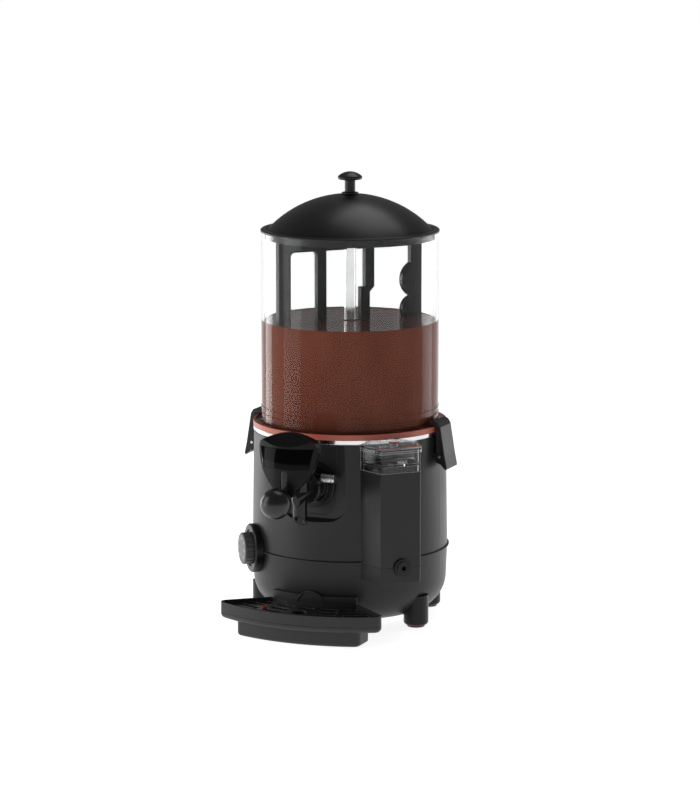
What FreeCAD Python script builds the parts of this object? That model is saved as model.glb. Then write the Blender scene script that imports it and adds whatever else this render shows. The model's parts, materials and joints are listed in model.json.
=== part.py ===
import FreeCAD, Part
import math
import os

# Hot chocolate dispenser: a clear drum with a stirrer stands on a round heated base with a lever tap.
# Units are millimetres. The origin is on the table under the drum's axis, +Z is up, and the tap faces -Y.

V = FreeCAD.Vector
ORIGIN = V(0, 0, 0)
UP = V(0, 0, 1)
RIGHT = V(1, 0, 0)
BACK = V(0, 1, 0)

# Heights of the main body
housing_bottom = 11.0
seam_height = 94.4
housing_top = 246.0
total_height = 580.0
drum_top = total_height - 76.8

# Housing
housing_seam_radius = 127.0
housing_top_radius = housing_seam_radius - 2.5
housing_corner_radius = 45.0
housing_corner_height = 56.0
housing_corner_outer = housing_seam_radius - 1.5
housing_wall = 3.0
seam_lip = 2.2
seam_lip_height = 2.6
seam_gap = 0.4
base_plate_radius = housing_corner_outer - housing_corner_radius - 2.5
base_opening_radius = base_plate_radius - 8.0
base_plate_thickness = 1.5
base_screw_circle = base_opening_radius + 4.0
base_screw_radius = 3.4
base_screw_height = 2.2
deck_edge = 6.0
hole_gap = 1.0
seat_gap = 0.3
skin_gap = 0.1
cut_past = 1.0

# Drum
drum_radius = housing_seam_radius - 12.4
drum_wall = 3.2
flange_radius = drum_radius + 10.7
flange_thickness = 6.2
flange_bottom = housing_top + 6.9
gasket_lip = 2.9
gasket_gap = 0.1
drum_fillet = 4.0
rib_heights = (flange_bottom + 17.1, flange_bottom + 25.1)
rib_proud = 0.6
rib_half_height = 0.9
bowl_rim_height = 4.6
sheet = 1.0

# Bowl, water bath and centre tube
bowl_radius = drum_radius - 11.6
bowl_depth = 44.0
sump_place = bowl_radius * 0.66
sump_room = 5.0
bath_radius = bowl_radius + 5.0
bath_bottom = housing_top - 96.0
bath_flange_radius = flange_radius - 1.7
tube_radius = 7.75
tube_bore = 6.2
tube_top = drum_top - 18.2
shaft_radius = 4.0
bush_length = 14.0
running_gap = 0.05

# Stirrer
stirrer_angle = 50.0
stirrer_thickness = 9.0
stirrer_bottom = flange_bottom + 9.1
stirrer_top = drum_top - 10.7
stirrer_rim = 12.5
hub_radius = 13.0
hub_height = 16.0
cap_radius = 7.0
cap_shoulder_height = 5.0
cap_height = 8.0
outer_bar_outside = drum_radius - 11.6
outer_bar_inside = outer_bar_outside - 16.5
inner_bar_outside = 48.8
inner_bar_inside = inner_bar_outside - 12.8
near_bar_outside = 33.0
near_bar_inside = near_bar_outside - 12.8
near_bar_step = 6.4
near_bar_step_height = stirrer_top - 62.5
wave_height = stirrer_top - 78.5
wave_pitch = 34.5
wave_depth = 12.0

# Lid
lid_brim_radius = drum_radius + 0.6
lid_brim_thickness = 3.0
lid_seat_gap = 0.3
lid_dome_sphere = 145.7
lid_dome_radius = lid_brim_radius - 8.2
lid_apex = total_height - 28.5
lid_wall = 2.6
lid_skirt_depth = 8.5
lid_skirt_gap = 2.2
lid_knob_radius = 15.7
lid_knob_cap = 10.0
lid_knob_stem = 6.8
lid_knob_collar = 11.0
lid_screw_hole = 2.6
lid_screw_radius = 2.4
lid_screw_head = 5.0
lid_edge = 1.2

# Tap
tap_height = housing_top - 53.0
pocket_floor = housing_top_radius - 8.5
pocket_flat = pocket_floor + 1.2
pocket_wall = 3.0
pocket_half_width = 46.0
pocket_bottom = tap_height - 42.5
pocket_corner = 22.0
pocket_flare = 0.5
panel_half_width = 31.0
panel_bottom = tap_height - 38.3
panel_corner = 17.0
tap_flange_radius = 29.4
tap_flange_thickness = 4.0
tap_flange_edge = 1.5
tap_collar_radius = 22.6
tap_collar_length = 4.4
tap_rim_radius = 19.7
tap_rim_position = pocket_floor + 27.6
barrel_radius = 18.0
pipe_radius = 9.0
pipe_wall = 1.2
valve_position = pocket_floor + 45.0
valve_radius = 13.5
spout_radius = 9.0
spout_bore = 6.8
spout_tip = tap_height - 46.0
spout_lip = tap_height - 31.0
nose_end = valve_position + 13.5
nose_tip = valve_position + 16.0
nose_height = tap_height - 8.8
nose_half_width = 5.6
nose_half_height = 12.8
nose_tip_share = 0.55
column_top = tap_height + 45.0
column_bore = 8.5
plunger_radius = 8.3
plunger_rod = 2.2
spring_top = tap_height + 18.3
pivot_position = valve_position - 17.0
pivot_height = tap_height + 35.0
pin_radius = 2.0
lever_slot_width = 8.6
lever_thickness = 7.4
stem_radius = 3.7
ball_radius = 19.4
ball_position = valve_position + 74.0
ball_height = tap_height - 3.0
stud_radius = 2.0
washer_overhang = 0.6
washer_start = 18.1
nut_radius = 5.7
nut_face = 0.9
nut_groove = 1.0
nut_groove_depth = 0.8
nut_groove_place = 4.2
nut_length = 13.5
nut_start = 22.0
nut_height_above_axis = 12.0
nut_position = pocket_floor + 16.2
cover_screw_radius = 1.8
lever_half_depth = 3.4
cross_pin_radius = 1.3

# Shield-shaped tap cover
cover_front = valve_position + 50.5
cover_bow = 62.0
cover_wall = 2.6
cover_depth = 13.0
cover_foot_depth = 3.0
cover_half_width = 39.5
cover_apex = tap_height + 79.0
cover_shoulder = tap_height + 63.0
cover_waist_height = tap_height + 33.0
cover_waist = 33.0
cover_foot_height = tap_height + 10.5
cover_foot = 15.0
cover_bottom = tap_height - 2.0
cover_top_lean = 22.0
slot_top = tap_height + 33.5
slot_bottom = tap_height + 1.6
cover_shelf = 3.0
cover_shelf_half = 9.0
label_top = tap_height + 62.0
label_bottom = tap_height + 35.5
label_half_width_top = cover_half_width - 3.3
label_half_width_bottom = 32.4
label_thickness = 0.8

# Water filler column, on the front right
column_angle = 46.5
column_front = housing_seam_radius + 34.0
column_half_front = 27.5
column_half_back = 38.0
column_back = housing_top_radius - 6.5
column_bottom_height = 73.5
column_top_height = housing_top - 31.2
column_corner = 3.0
filler_wall = 2.4
filler_box_top = housing_top - 3.0
filler_floor_top = housing_top - 20.4
filler_neck_top = housing_top - 23.0
filler_neck_inset = 3.0
filler_lid_top = housing_top + 1.2
filler_lid_overlap = 3.0
filler_lid_overhang = 0.8
filler_hole_radius = 11.2
filler_knob_radius = 7.8
filler_knob_height = 10.5
filler_knob_offset = -3.0
filler_knob_position = column_front - 16.0
reservoir_wall = 1.6
reservoir_bottom = 78.0
reservoir_top = housing_top - 34.6
reservoir_back = column_back - 5.0
drain_height = seam_height - 1.0
drain_offset = 2.0
drain_ring_radius = 11.6
drain_ring_depth = 3.0
drain_plug_radius = 8.4
drain_plug_proud = 1.4
drain_socket_radius = 3.2
drain_socket_depth = 4.0
drain_thread_radius = 6.6
drain_thread_length = 12.0
drain_hole_gap = 2.0
drain_throat_gap = 1.8

# Clips on both sides
clip_pin_distance = flange_radius + 6.4
clip_pin_height = housing_top - 25.2
clip_half_width = 19.0
clip_cheek = 2.6
clip_plate = 2.6
clip_pin_radius = 1.75
clip_pin_proud = 0.6
clip_hook_end = drum_radius + 1.8
clip_hook_gap = 0.7
clip_bend = 1.4
clip_edge = 1.0
clip_hook_top = housing_top + 21.0
ear_radius = 3.9
ear_gap = 0.5

# Thermostat knob, on the front left
dial_angle = -51.0
dial_height = seam_height + 0.5
bezel_radius = 31.7
bezel_front = housing_seam_radius + 8.0
bezel_lip = 3.0
bezel_edge = 1.6
bezel_recess = 3.4
thermostat_front = housing_seam_radius - 7.0
thermostat_radius = 13.0
thermostat_depth = 22.0
thermostat_bore_depth = 14.0
knob_radius = 20.6
knob_front = bezel_front + 10.9
knob_gap = 0.5
knob_edge = 1.2
knob_grip_end = 3.0
knob_shaft_radius = 3.0
knob_grip_radius = 1.6
knob_grip_count = 18

# Drip tray and its holder
tray_rim_height = 41.0
tray_floor_height = 19.6
tray_corner_x = 116.5
tray_corner_y = 161.5
tray_front = tray_corner_y + 35.0
tray_back_radius = housing_corner_outer + 3.9
tray_back_half = 60.0
tray_corner_radius = 9.0
tray_edge = 6.5
tray_wall = 2.6
tray_groove_height = tray_floor_height + 7.9
tray_groove_width = 0.9
tray_groove_depth = 0.7
grid_thickness = 2.6
grid_top = tray_rim_height - 4.4
grid_gap = 0.6
grid_slot_width = 6.6
grid_rows = (
    (housing_seam_radius + 14.0, 27.0),
    (housing_seam_radius + 29.5, 29.0),
    (housing_seam_radius + 45.0, 31.0),
)
grid_middle_slot = 4.3
grid_inner_slot = (7.0, 17.0)
grid_outer_slot_start = 19.6
grid_hole_radius = 9.0
grid_hole_position = valve_position + 4.0
float_x = -51.5
float_y = 157.5
float_radius = 3.6
float_hole_radius = 4.2
float_top = grid_top + 2.2
float_puck = 7.92
float_puck_height = 5.0
float_notch_half = 0.9
float_notch_depth = 1.4
leg_radius = 2.6
leg_overlap = 0.5
holder_half_width = 84.5
holder_corner = 10.0
holder_edge = 4.0
holder_inset = 9.0
holder_bottom = 0.6
holder_block_half = 58.0
holder_block_top = tray_rim_height + 9.5
holder_block_radius = tray_back_radius - 0.4
holder_inner_radius = base_opening_radius + 20.0
holder_tongue_half = 45.0
holder_tongue_end = 48.0
holder_arch_radius = 20.6
holder_arch_rim = 1.5
holder_arch_height = 36.0
holder_arch_proud = 1.2

# Feet
foot_radius = 16.0
foot_edge = 4.5
foot_top = 42.0
pad_edge = 0.6
front_foot = (housing_seam_radius - 20.3, -34.0)
rear_foot = (housing_seam_radius - 48.0, housing_seam_radius - 48.0)
pad_height = 2.5
pad_radius = 11.4

# Parts inside the base
motor_radius = 31.0
motor_bottom = housing_bottom + 41.0
motor_height = 46.0
gearbox_half_length = 38.0
gearbox_half_width = 27.0
gearbox_height = 24.0
bracket_thickness = 2.0
bracket_half_depth = base_screw_circle - 44.0
bracket_reach = base_screw_circle - 25.0
bracket_foot = 10.0
motor_offset = 14.0
terminal_half_width = 24.0
terminal_depth = 12.0
terminal_height = 14.0
terminal_place = base_opening_radius - 12.0
terminal_count = 4
terminal_well_radius = 3.0
terminal_well_depth = 5.0
element_ring_radius = 66.0
element_tube_radius = 4.0
element_height = bath_bottom + 10.0
element_sweep = 320.0
element_start = 110.0
element_end_height = bath_bottom + 1.3
cutout_radius = 9.0
cutout_height = 9.0
cutout_place = (62.0, 30.0)

# Mains entry and switch, at the back
switch_angle = 208.0
switch_height = 70.0
switch_half_width = 7.2
switch_half_height = 10.8
switch_frame_margin = 3.2
switch_frame_proud = 1.8
switch_depth = 22.0
switch_well_margin = 1.2
rocker_pivot_depth = 2.5
rocker_pin_radius = 1.2
rocker_proud = 2.0
rocker_sunk = 0.5
gland_angle = 180.0
gland_height = 66.0
gland_radius = 9.0
gland_length = 14.0
gland_bore = 4.0
gland_shank_inset = 2.2
gland_shank_end = 16.0
gland_shank_overlap = 4.0
vent_angle = 148.0
vent_count = 9
vent_pitch = 6.5
vent_width = 3.0
vent_bottom = 60.0
vent_top = 82.0

FULL_TURN = 360.0
HALF = 0.5
THROUGH = 400.0
TOUCH = 0.01
UPRIGHT = 0.99


def radial(r, z):
    """Point of a turned outline: r from the Z axis, z up."""
    return V(r, 0, z)


def face_of(start, *steps):
    """Closed face; a step is a point for a line, or a (middle, end) pair for an arc."""
    edges = []
    here = start
    for step in steps:
        if isinstance(step, tuple):
            middle, end = step
            edges.append(Part.Arc(here, middle, end).toShape())
        else:
            end = step
            edges.append(Part.LineSegment(here, end).toShape())
        here = end
    if here.distanceToPoint(start) > 1e-6:
        edges.append(Part.LineSegment(here, start).toShape())
    return Part.Face(Part.Wire(edges))


def turned(start, *steps):
    """Solid of revolution about the Z axis from an outline in the XZ plane."""
    return face_of(start, *steps).revolve(ORIGIN, UP, FULL_TURN)


def ring(inner, outer, bottom, top):
    """Round ring about the Z axis."""
    solid = Part.makeCylinder(outer, top - bottom, V(0, 0, bottom))
    if inner > 0:
        solid = solid.cut(Part.makeCylinder(inner, top - bottom, V(0, 0, bottom)))
    return solid


def rod(radius, start, end):
    """Round rod from one point to another."""
    along = end.sub(start)
    return Part.makeCylinder(radius, along.Length, start, along)


def block(x0, x1, y0, y1, z0, z1):
    """Rectangular block between two corners."""
    return Part.makeBox(x1 - x0, y1 - y0, z1 - z0, V(x0, y0, z0))


def prism(points, bottom, top):
    """Upright prism over a plan outline of (x, y) points."""
    corners = [V(x, y, bottom) for x, y in points]
    return Part.Face(Part.makePolygon(corners + corners[:1])).extrude(V(0, 0, top - bottom))


def at_angle(shape, degrees):
    """Swing a shape made on the front of the machine round to an angle; positive goes to the right."""
    shape.rotate(ORIGIN, UP, degrees)
    return shape


def mirrored(shape):
    """Left-hand copy of a right-hand shape."""
    return shape.mirror(ORIGIN, RIGHT)


def cap_arc(start, apex_height):
    """Arc of a round cap from a point of a turned outline up to its apex on the axis."""
    rise = apex_height - start.z
    sphere = (start.x ** 2 + rise ** 2) / (2 * rise)
    middle = start.x * HALF
    height = apex_height - sphere + math.sqrt(sphere ** 2 - middle ** 2)
    return radial(middle, height), radial(0, apex_height)


def one_solid(shape):
    """The single solid of a shape, cleaned of split faces."""
    return shape.removeSplitter().Solids[0]


def upper_radius(z):
    """Outside radius of the upper housing, which tapers a little towards its top."""
    share = (z - seam_height) / (housing_top - seam_height)
    return housing_seam_radius + share * (housing_top_radius - housing_seam_radius)


def corner_point(centre_r, radius, degrees):
    """Point on the round bottom edge of the lower housing."""
    angle = math.radians(degrees)
    return radial(centre_r + radius * math.cos(angle), housing_corner_height + radius * math.sin(angle))


def upper_body(inset, bottom, top):
    """Turned body of the upper housing, drawn in by an inset."""
    return turned(
        radial(0, bottom),
        radial(upper_radius(bottom) - inset, bottom),
        radial(upper_radius(top) - inset, top),
        radial(0, top),
    )


def lower_body(inset, top):
    """Turned body of the lower housing, drawn in by an inset."""
    centre = housing_corner_outer - housing_corner_radius
    radius = housing_corner_radius - inset
    low = housing_corner_height - radius
    share = (top - housing_corner_height) / (seam_height - housing_corner_height)
    top_radius = housing_corner_outer + share * (housing_seam_radius - housing_corner_outer) - inset
    return turned(
        radial(0, low),
        radial(centre, low),
        (corner_point(centre, radius, -45.0), corner_point(centre, radius, 0.0)),
        radial(top_radius, top),
        radial(0, top),
    )


def column_outline(inset, back):
    """Plan of the filler column on the front of the machine, before it is swung to its angle."""
    return [
        (-column_half_back + inset, -back),
        (-column_half_front + inset * 1.2, -column_front + inset),
        (column_half_front - inset * 1.2, -column_front + inset),
        (column_half_back - inset, -back),
    ]


def column_body(inset, back, bottom, top):
    """Filler column with softened front corners."""
    solid = prism(column_outline(inset, back), bottom, top)
    corners = [
        edge for edge in solid.Edges
        if abs(edge.tangentAt(edge.FirstParameter).z) > UPRIGHT
        and edge.CenterOfMass.y < -column_front + inset + 1.0
    ]
    return at_angle(solid.makeFillet(max(column_corner - inset * HALF, 0.8), corners), column_angle)


def pocket_face(half_width, bottom, corner, depth_y):
    """Outline with round lower corners on a plane at y = -depth_y, open at the housing's top."""
    top = housing_top + 1.0
    side = half_width - corner * (1.0 - math.sqrt(HALF))
    low = bottom + corner * (1.0 - math.sqrt(HALF))
    return face_of(
        V(-half_width, -depth_y, top),
        V(-half_width, -depth_y, bottom + corner),
        (V(-side, -depth_y, low), V(corner - half_width, -depth_y, bottom)),
        V(half_width - corner, -depth_y, bottom),
        (V(side, -depth_y, low), V(half_width, -depth_y, bottom + corner)),
        V(half_width, -depth_y, top),
    )


def pocket_cutter(grow, drop):
    """Tool for the flat tap pocket, which opens outwards, and for the shallow panel in its floor."""
    mouth = housing_seam_radius + 6 * cut_past
    floor = pocket_flat - drop
    flare = pocket_flare * (mouth - floor)
    half_width = pocket_half_width + grow
    bottom = pocket_bottom - grow
    inner = pocket_face(half_width, bottom, pocket_corner, floor)
    outer = pocket_face(half_width + flare, bottom - flare, pocket_corner + flare, mouth)
    tool = Part.makeLoft([inner.OuterWire, outer.OuterWire], True, True)
    panel = pocket_face(panel_half_width + grow, panel_bottom - grow, panel_corner, pocket_floor - drop)
    return tool.fuse(panel.extrude(V(0, pocket_floor - pocket_flat - cut_past, 0)))


def clip_ears():
    """Pair of lugs on the upper housing that hold the clip pins."""
    half = clip_half_width - clip_cheek - ear_gap
    lug = Part.makeCylinder(ear_radius, 2 * half, V(clip_pin_distance, -half, clip_pin_height), BACK)
    root = block(
        housing_top_radius - 6.0, clip_pin_distance, -half, half,
        clip_pin_height - ear_radius, clip_pin_height + ear_radius,
    )
    bore = Part.makeCylinder(
        clip_pin_radius + running_gap, 2 * clip_half_width,
        V(clip_pin_distance, -clip_half_width, clip_pin_height), BACK,
    )
    right = lug.fuse(root).cut(bore)
    return right.fuse(mirrored(right))


def dial_cutter(radius, inner, outer):
    """Round tool on the thermostat's axis."""
    tool = rod(radius, V(0, -inner, dial_height), V(0, -outer, dial_height))
    return at_angle(tool, dial_angle)


def drain_tool(radius, inner, outer):
    """Round tool on the drain's axis."""
    tool = rod(radius, V(drain_offset, -inner, drain_height), V(drain_offset, -outer, drain_height))
    return at_angle(tool, column_angle)


def filler_neck():
    """Raised neck on the column's top that the clear filler box sits over."""
    neck = column_body(filler_neck_inset, column_back, column_top_height - HALF, filler_neck_top)
    return neck.cut(upper_body(-filler_wall - 0.7, column_top_height, filler_neck_top + cut_past))


def filler_hole(bottom, top):
    """Tool for the hole that the water runs through."""
    tool = Part.makeCylinder(filler_hole_radius, top - bottom, V(0, -filler_knob_position, bottom))
    return at_angle(tool, column_angle)


def seam_holes():
    """Tools for the bezel's and the drain's round holes, which lie across the seam."""
    dial = dial_cutter(bezel_radius - bezel_lip, bath_radius, bezel_front)
    drain_radius = drain_thread_radius + drain_hole_gap
    return dial.fuse(drain_tool(drain_radius, column_front - 8 * cut_past, column_front + cut_past))


def upper_housing():
    """Moulded shell of the upper base with its top deck, tap pocket, filler column and clip lugs."""
    lip_top = seam_height + seam_lip_height
    lip_inside = housing_top_radius - deck_edge
    lip_outside = housing_seam_radius + seam_lip
    lip = turned(
        radial(lip_inside, seam_height),
        radial(lip_outside, seam_height),
        radial(lip_outside, seam_height + seam_lip_height * HALF),
        radial(upper_radius(lip_top), lip_top),
        radial(lip_inside, lip_top),
    )
    outer = upper_body(0, seam_height, housing_top).fuse(lip)
    outer = outer.fuse(column_body(0, column_back, seam_height, column_top_height))
    outer = outer.cut(pocket_cutter(0, 0))
    column_ceiling = column_top_height - housing_wall
    deck_underside = housing_top - housing_wall
    cavity = upper_body(housing_wall, seam_height, deck_underside)
    cavity = cavity.cut(pocket_cutter(pocket_wall, pocket_wall))
    cavity = cavity.fuse(column_body(housing_wall, reservoir_back, seam_height, column_ceiling))
    shell = outer.cut(cavity).fuse(filler_neck())
    shell = shell.cut(filler_hole(column_ceiling - 2 * housing_wall, filler_box_top))
    deck_hole = ring(0, bath_radius + hole_gap, deck_underside - housing_wall, housing_top + cut_past)
    shell = shell.cut(deck_hole)
    shell = shell.fuse(clip_ears().cut(upper_body(housing_wall, seam_height, deck_underside)))
    pipe_end = V(0, -pocket_floor - 2 * cut_past, tap_height)
    shell = shell.cut(rod(pipe_radius + hole_gap, V(0, -bath_radius, tap_height), pipe_end))
    return one_solid(shell.cut(seam_holes()))


def vent_slots():
    """Row of upright air slots through the back of the lower housing."""
    slots = []
    for index in range(vent_count):
        offset = (index - (vent_count - 1) / 2) * vent_pitch
        slots.append(block(
            offset - vent_width / 2, offset + vent_width / 2,
            housing_corner_outer - 12.0, housing_corner_outer + 8.0,
            vent_bottom, vent_top,
        ))
    return at_angle(Part.makeCompound(slots), vent_angle - 180.0)


def switch_window(margin, inner, outer):
    """Rectangular tool on the mains switch's axis."""
    tool = block(
        -switch_half_width - margin, switch_half_width + margin, -outer, -inner,
        switch_height - switch_half_height - margin, switch_height + switch_half_height + margin,
    )
    return at_angle(tool, switch_angle)


def foot_places():
    """Names and places of the four feet."""
    places = {}
    for end, (x, y) in (("front", front_foot), ("rear", rear_foot)):
        places["foot_%s_left" % end] = (-x, y)
        places["foot_%s_right" % end] = (x, y)
    return places


def lower_housing():
    """Moulded bowl of the lower base, with the foot of the filler column and four foot sockets."""
    top = seam_height - seam_gap
    column_floor = column_bottom_height + housing_wall
    outer = lower_body(0, top)
    outer = outer.fuse(column_body(0, column_back, column_bottom_height, top))
    cavity = lower_body(housing_wall, top)
    cavity = cavity.fuse(column_body(housing_wall, reservoir_back, column_floor, top))
    shell = outer.cut(cavity)
    shell = shell.cut(ring(0, base_opening_radius, 0, 2 * housing_bottom))
    for x, y in foot_places().values():
        shell = shell.cut(Part.makeCylinder(foot_radius + seat_gap, foot_top + seat_gap, V(x, y, 0)))
    shell = shell.cut(vent_slots())
    shell = shell.cut(switch_window(4 * running_gap, bath_radius, housing_seam_radius + 5 * cut_past))
    gland_start = V(0, -base_opening_radius, gland_height)
    gland_hole = rod(gland_radius - 2.0, gland_start, V(0, -THROUGH, gland_height))
    shell = shell.cut(at_angle(gland_hole, gland_angle))
    return one_solid(shell.cut(seam_holes()))


def base_plate():
    """Round steel plate that closes the bottom, on the inside of the lower housing."""
    bottom = housing_bottom + housing_wall
    return ring(0, base_plate_radius, bottom, bottom + base_plate_thickness)


def foot(x, y):
    """Black foot that rises along the round corner of the lower housing."""
    solid = Part.makeCylinder(foot_radius, foot_top - pad_height, V(x, y, pad_height))
    lower = [edge for edge in solid.Edges if edge.CenterOfMass.z < pad_height + TOUCH]
    return solid.makeFillet(foot_edge, lower)


def foot_pad(x, y):
    """Rubber pad under a foot."""
    solid = Part.makeCylinder(pad_radius, pad_height, V(x, y, 0))
    return solid.makeChamfer(pad_edge, [edge for edge in solid.Edges if edge.CenterOfMass.z < TOUCH])


def bath_pan():
    """Water bath pan hung in the housing's deck, with holes for the outlet pipe and the centre tube."""
    outer = turned(
        radial(0, bath_bottom),
        radial(bath_radius, bath_bottom),
        radial(bath_radius, housing_top + seat_gap),
        radial(bath_flange_radius, housing_top + seat_gap),
        radial(bath_flange_radius, housing_top + seat_gap + sheet),
        radial(0, housing_top + seat_gap + sheet),
    )
    pan = outer.cut(ring(0, bath_radius - sheet, bath_bottom + sheet, housing_top + 5.0))
    pan = pan.cut(ring(0, tube_radius + running_gap, bath_bottom - 1.0, bath_bottom + 2.0))
    return pan.cut(rod(pipe_radius + running_gap, V(0, -bath_radius + 5.0, tap_height),
                       V(0, -bath_radius - 5.0, tap_height)))


def bowl_rim_bottom():
    """Underside of the bowl's rolled rim, on the bath pan's flange."""
    return housing_top + seat_gap + sheet + 0.1


def heated_bowl():
    """Steel bowl under the drum: rolled rim, straight wall, flat bottom and a sump over the outlet pipe."""
    rim_bottom = bowl_rim_bottom()
    rim_top = rim_bottom + bowl_rim_height
    floor = rim_top - bowl_depth
    rim_inside = flange_radius - 4 * sheet
    tube_hole = tube_radius + running_gap
    bowl = turned(
        radial(tube_hole, floor),
        radial(bowl_radius, floor),
        radial(bowl_radius, rim_top - sheet),
        radial(rim_inside, rim_top - sheet),
        radial(rim_inside, rim_bottom),
        radial(flange_radius, rim_bottom),
        radial(flange_radius, rim_top),
        radial(bowl_radius - sheet, rim_top),
        radial(bowl_radius - sheet, floor + sheet),
        radial(tube_hole, floor + sheet),
    )
    sump_floor = tap_height - pipe_radius - 3 * sheet
    sump_radius = pipe_radius + sump_room
    sump_depth = floor - sump_floor
    bowl = bowl.fuse(Part.makeCylinder(sump_radius, sump_depth, V(0, -sump_place, sump_floor)))
    hollow = V(0, -sump_place, sump_floor + sheet)
    bowl = bowl.cut(Part.makeCylinder(sump_radius - sheet, sump_depth + 6 * sheet, hollow))
    pipe_start = V(0, -sump_place, tap_height)
    bowl = bowl.cut(rod(pipe_radius + running_gap, pipe_start, V(0, -THROUGH, tap_height)))
    return one_solid(bowl)


def outlet_pipe():
    """Steel pipe from the bowl's sump to the tap."""
    start = V(0, -sump_place - pipe_radius - 2 * sheet, tap_height)
    end = V(0, -tap_rim_position + 4 * sheet, tap_height)
    return rod(pipe_radius, start, end).cut(rod(pipe_radius - pipe_wall, start, end))


def centre_tube():
    """Polished steel tube that carries the drive shaft up through the drum."""
    return ring(tube_bore, tube_radius, bath_bottom - 8.0, tube_top)


def drum():
    """Clear drum with a foot flange, two fine ribs above it and a plain open top."""
    bottom = flange_bottom
    top = bottom + flange_thickness
    outside = flange_radius - gasket_lip
    ribs = []
    for height in rib_heights:
        ribs.append(radial(drum_radius, height - rib_half_height))
        crest = radial(drum_radius + rib_proud, height)
        ribs.append((crest, radial(drum_radius, height + rib_half_height)))
    return turned(
        radial(drum_radius - drum_wall, bottom),
        radial(outside, bottom),
        radial(outside, top),
        radial(drum_radius + drum_fillet, top),
        (radial(drum_radius + drum_fillet * 0.3, top + drum_fillet * 0.3),
         radial(drum_radius, top + drum_fillet)),
        *ribs,
        radial(drum_radius, drum_top),
        radial(drum_radius - drum_wall, drum_top),
    )


def drum_gasket():
    """Red silicone ring under the drum's flange, with a lip that stands round the flange's edge."""
    bottom = bowl_rim_bottom() + bowl_rim_height + gasket_gap
    step = flange_bottom - gasket_gap
    top = flange_bottom + flange_thickness
    lip_inside = flange_radius - gasket_lip + gasket_gap
    return turned(
        radial(drum_radius - drum_wall, bottom),
        radial(flange_radius, bottom),
        radial(flange_radius, top),
        radial(lip_inside, top),
        radial(lip_inside, step),
        radial(drum_radius - drum_wall, step),
    )


def bush(bottom):
    """Plain bearing between the drive shaft and the centre tube."""
    return ring(shaft_radius + running_gap, tube_bore - 0.03, bottom, bottom + bush_length)


def drive_shaft():
    """Steel shaft from the gear motor up to the stirrer's hub."""
    bottom = motor_bottom + motor_height + gearbox_height + 2.0
    return Part.makeCylinder(shaft_radius, tube_top + hub_height - 2.3 - bottom, V(0, 0, bottom))


def rounded_window(x0, x1, z0, z1, corner):
    """Window tool for a stirrer arm, through its thickness."""
    solid = block(x0, x1, -stirrer_thickness, stirrer_thickness, z0, z1)
    upright = [e for e in solid.Edges if abs(e.tangentAt(e.FirstParameter).y) > UPRIGHT]
    return solid.makeFillet(corner, upright)


def plain_arm():
    """Arm with two straight bars, joined above and below."""
    half = stirrer_thickness / 2
    plate = block(inner_bar_inside, outer_bar_outside, -half, half, stirrer_bottom, stirrer_top)
    link = block(shaft_radius + 1.0, inner_bar_outside, -half, half, stirrer_top - stirrer_rim, stirrer_top)
    foot_link = stirrer_bottom + stirrer_rim
    window = rounded_window(inner_bar_outside, outer_bar_inside, foot_link, stirrer_top - stirrer_rim, 6.0)
    return plate.cut(window).fuse(link)


def wavy_window():
    """Window of the second arm: a stepped edge beside the hub and a waved edge on the outer bar."""
    half = stirrer_thickness
    top = stirrer_top - stirrer_rim
    bottom = stirrer_bottom + stirrer_rim
    step_low = near_bar_step_height - near_bar_step
    crest = outer_bar_inside - wave_depth
    high = wave_height + 1.5 * wave_pitch * HALF + wave_pitch * HALF
    upper_bump = wave_height + wave_pitch * HALF
    lower_bump = wave_height - wave_pitch * HALF
    low = lower_bump - wave_pitch * HALF
    face = face_of(
        V(near_bar_outside, -half, top),
        V(near_bar_outside, -half, near_bar_step_height),
        V(near_bar_outside - near_bar_step, -half, step_low),
        V(near_bar_outside - near_bar_step, -half, bottom),
        V(outer_bar_inside, -half, bottom),
        V(outer_bar_inside, -half, low),
        (V(crest, -half, lower_bump), V(outer_bar_inside, -half, wave_height)),
        (V(crest, -half, upper_bump), V(outer_bar_inside, -half, high)),
        V(outer_bar_inside, -half, top),
    )
    return face.extrude(V(0, 2 * half, 0))


def wavy_arm():
    """Arm with a stepped inner bar and a waved outer bar."""
    half = stirrer_thickness / 2
    plate = block(near_bar_inside - near_bar_step, outer_bar_outside, -half, half,
                  stirrer_bottom, stirrer_top)
    notch = block(0, near_bar_inside, -THROUGH, THROUGH, near_bar_step_height, stirrer_top - stirrer_rim)
    link = block(shaft_radius + 1.0, near_bar_outside, -half, half, stirrer_top - stirrer_rim, stirrer_top)
    return plate.cut(wavy_window()).cut(notch).fuse(link)


def stirrer():
    """One-piece stirrer: a hub on the shaft's end and two opposite arms."""
    hub = ring(0, hub_radius, tube_top + 1.0, tube_top + hub_height)
    plain = plain_arm()
    plain.rotate(ORIGIN, UP, stirrer_angle + 180.0)
    wavy = wavy_arm()
    wavy.rotate(ORIGIN, UP, stirrer_angle)
    body = hub.fuse(plain).fuse(wavy)
    body = body.cut(ring(0, tube_radius + 1.5, stirrer_bottom, tube_top + 1.0))
    bore = Part.makeCylinder(shaft_radius + running_gap, hub_height - 2.0, V(0, 0, tube_top))
    return one_solid(body.cut(bore))


def stirrer_cap():
    """Small nut on top of the hub that keeps the stirrer on its shaft."""
    bottom = tube_top + hub_height + skin_gap
    shoulder = radial(cap_radius, bottom + cap_shoulder_height)
    arc = cap_arc(shoulder, bottom + cap_height)
    return turned(radial(0, bottom), radial(cap_radius, bottom), shoulder, arc)


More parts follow.
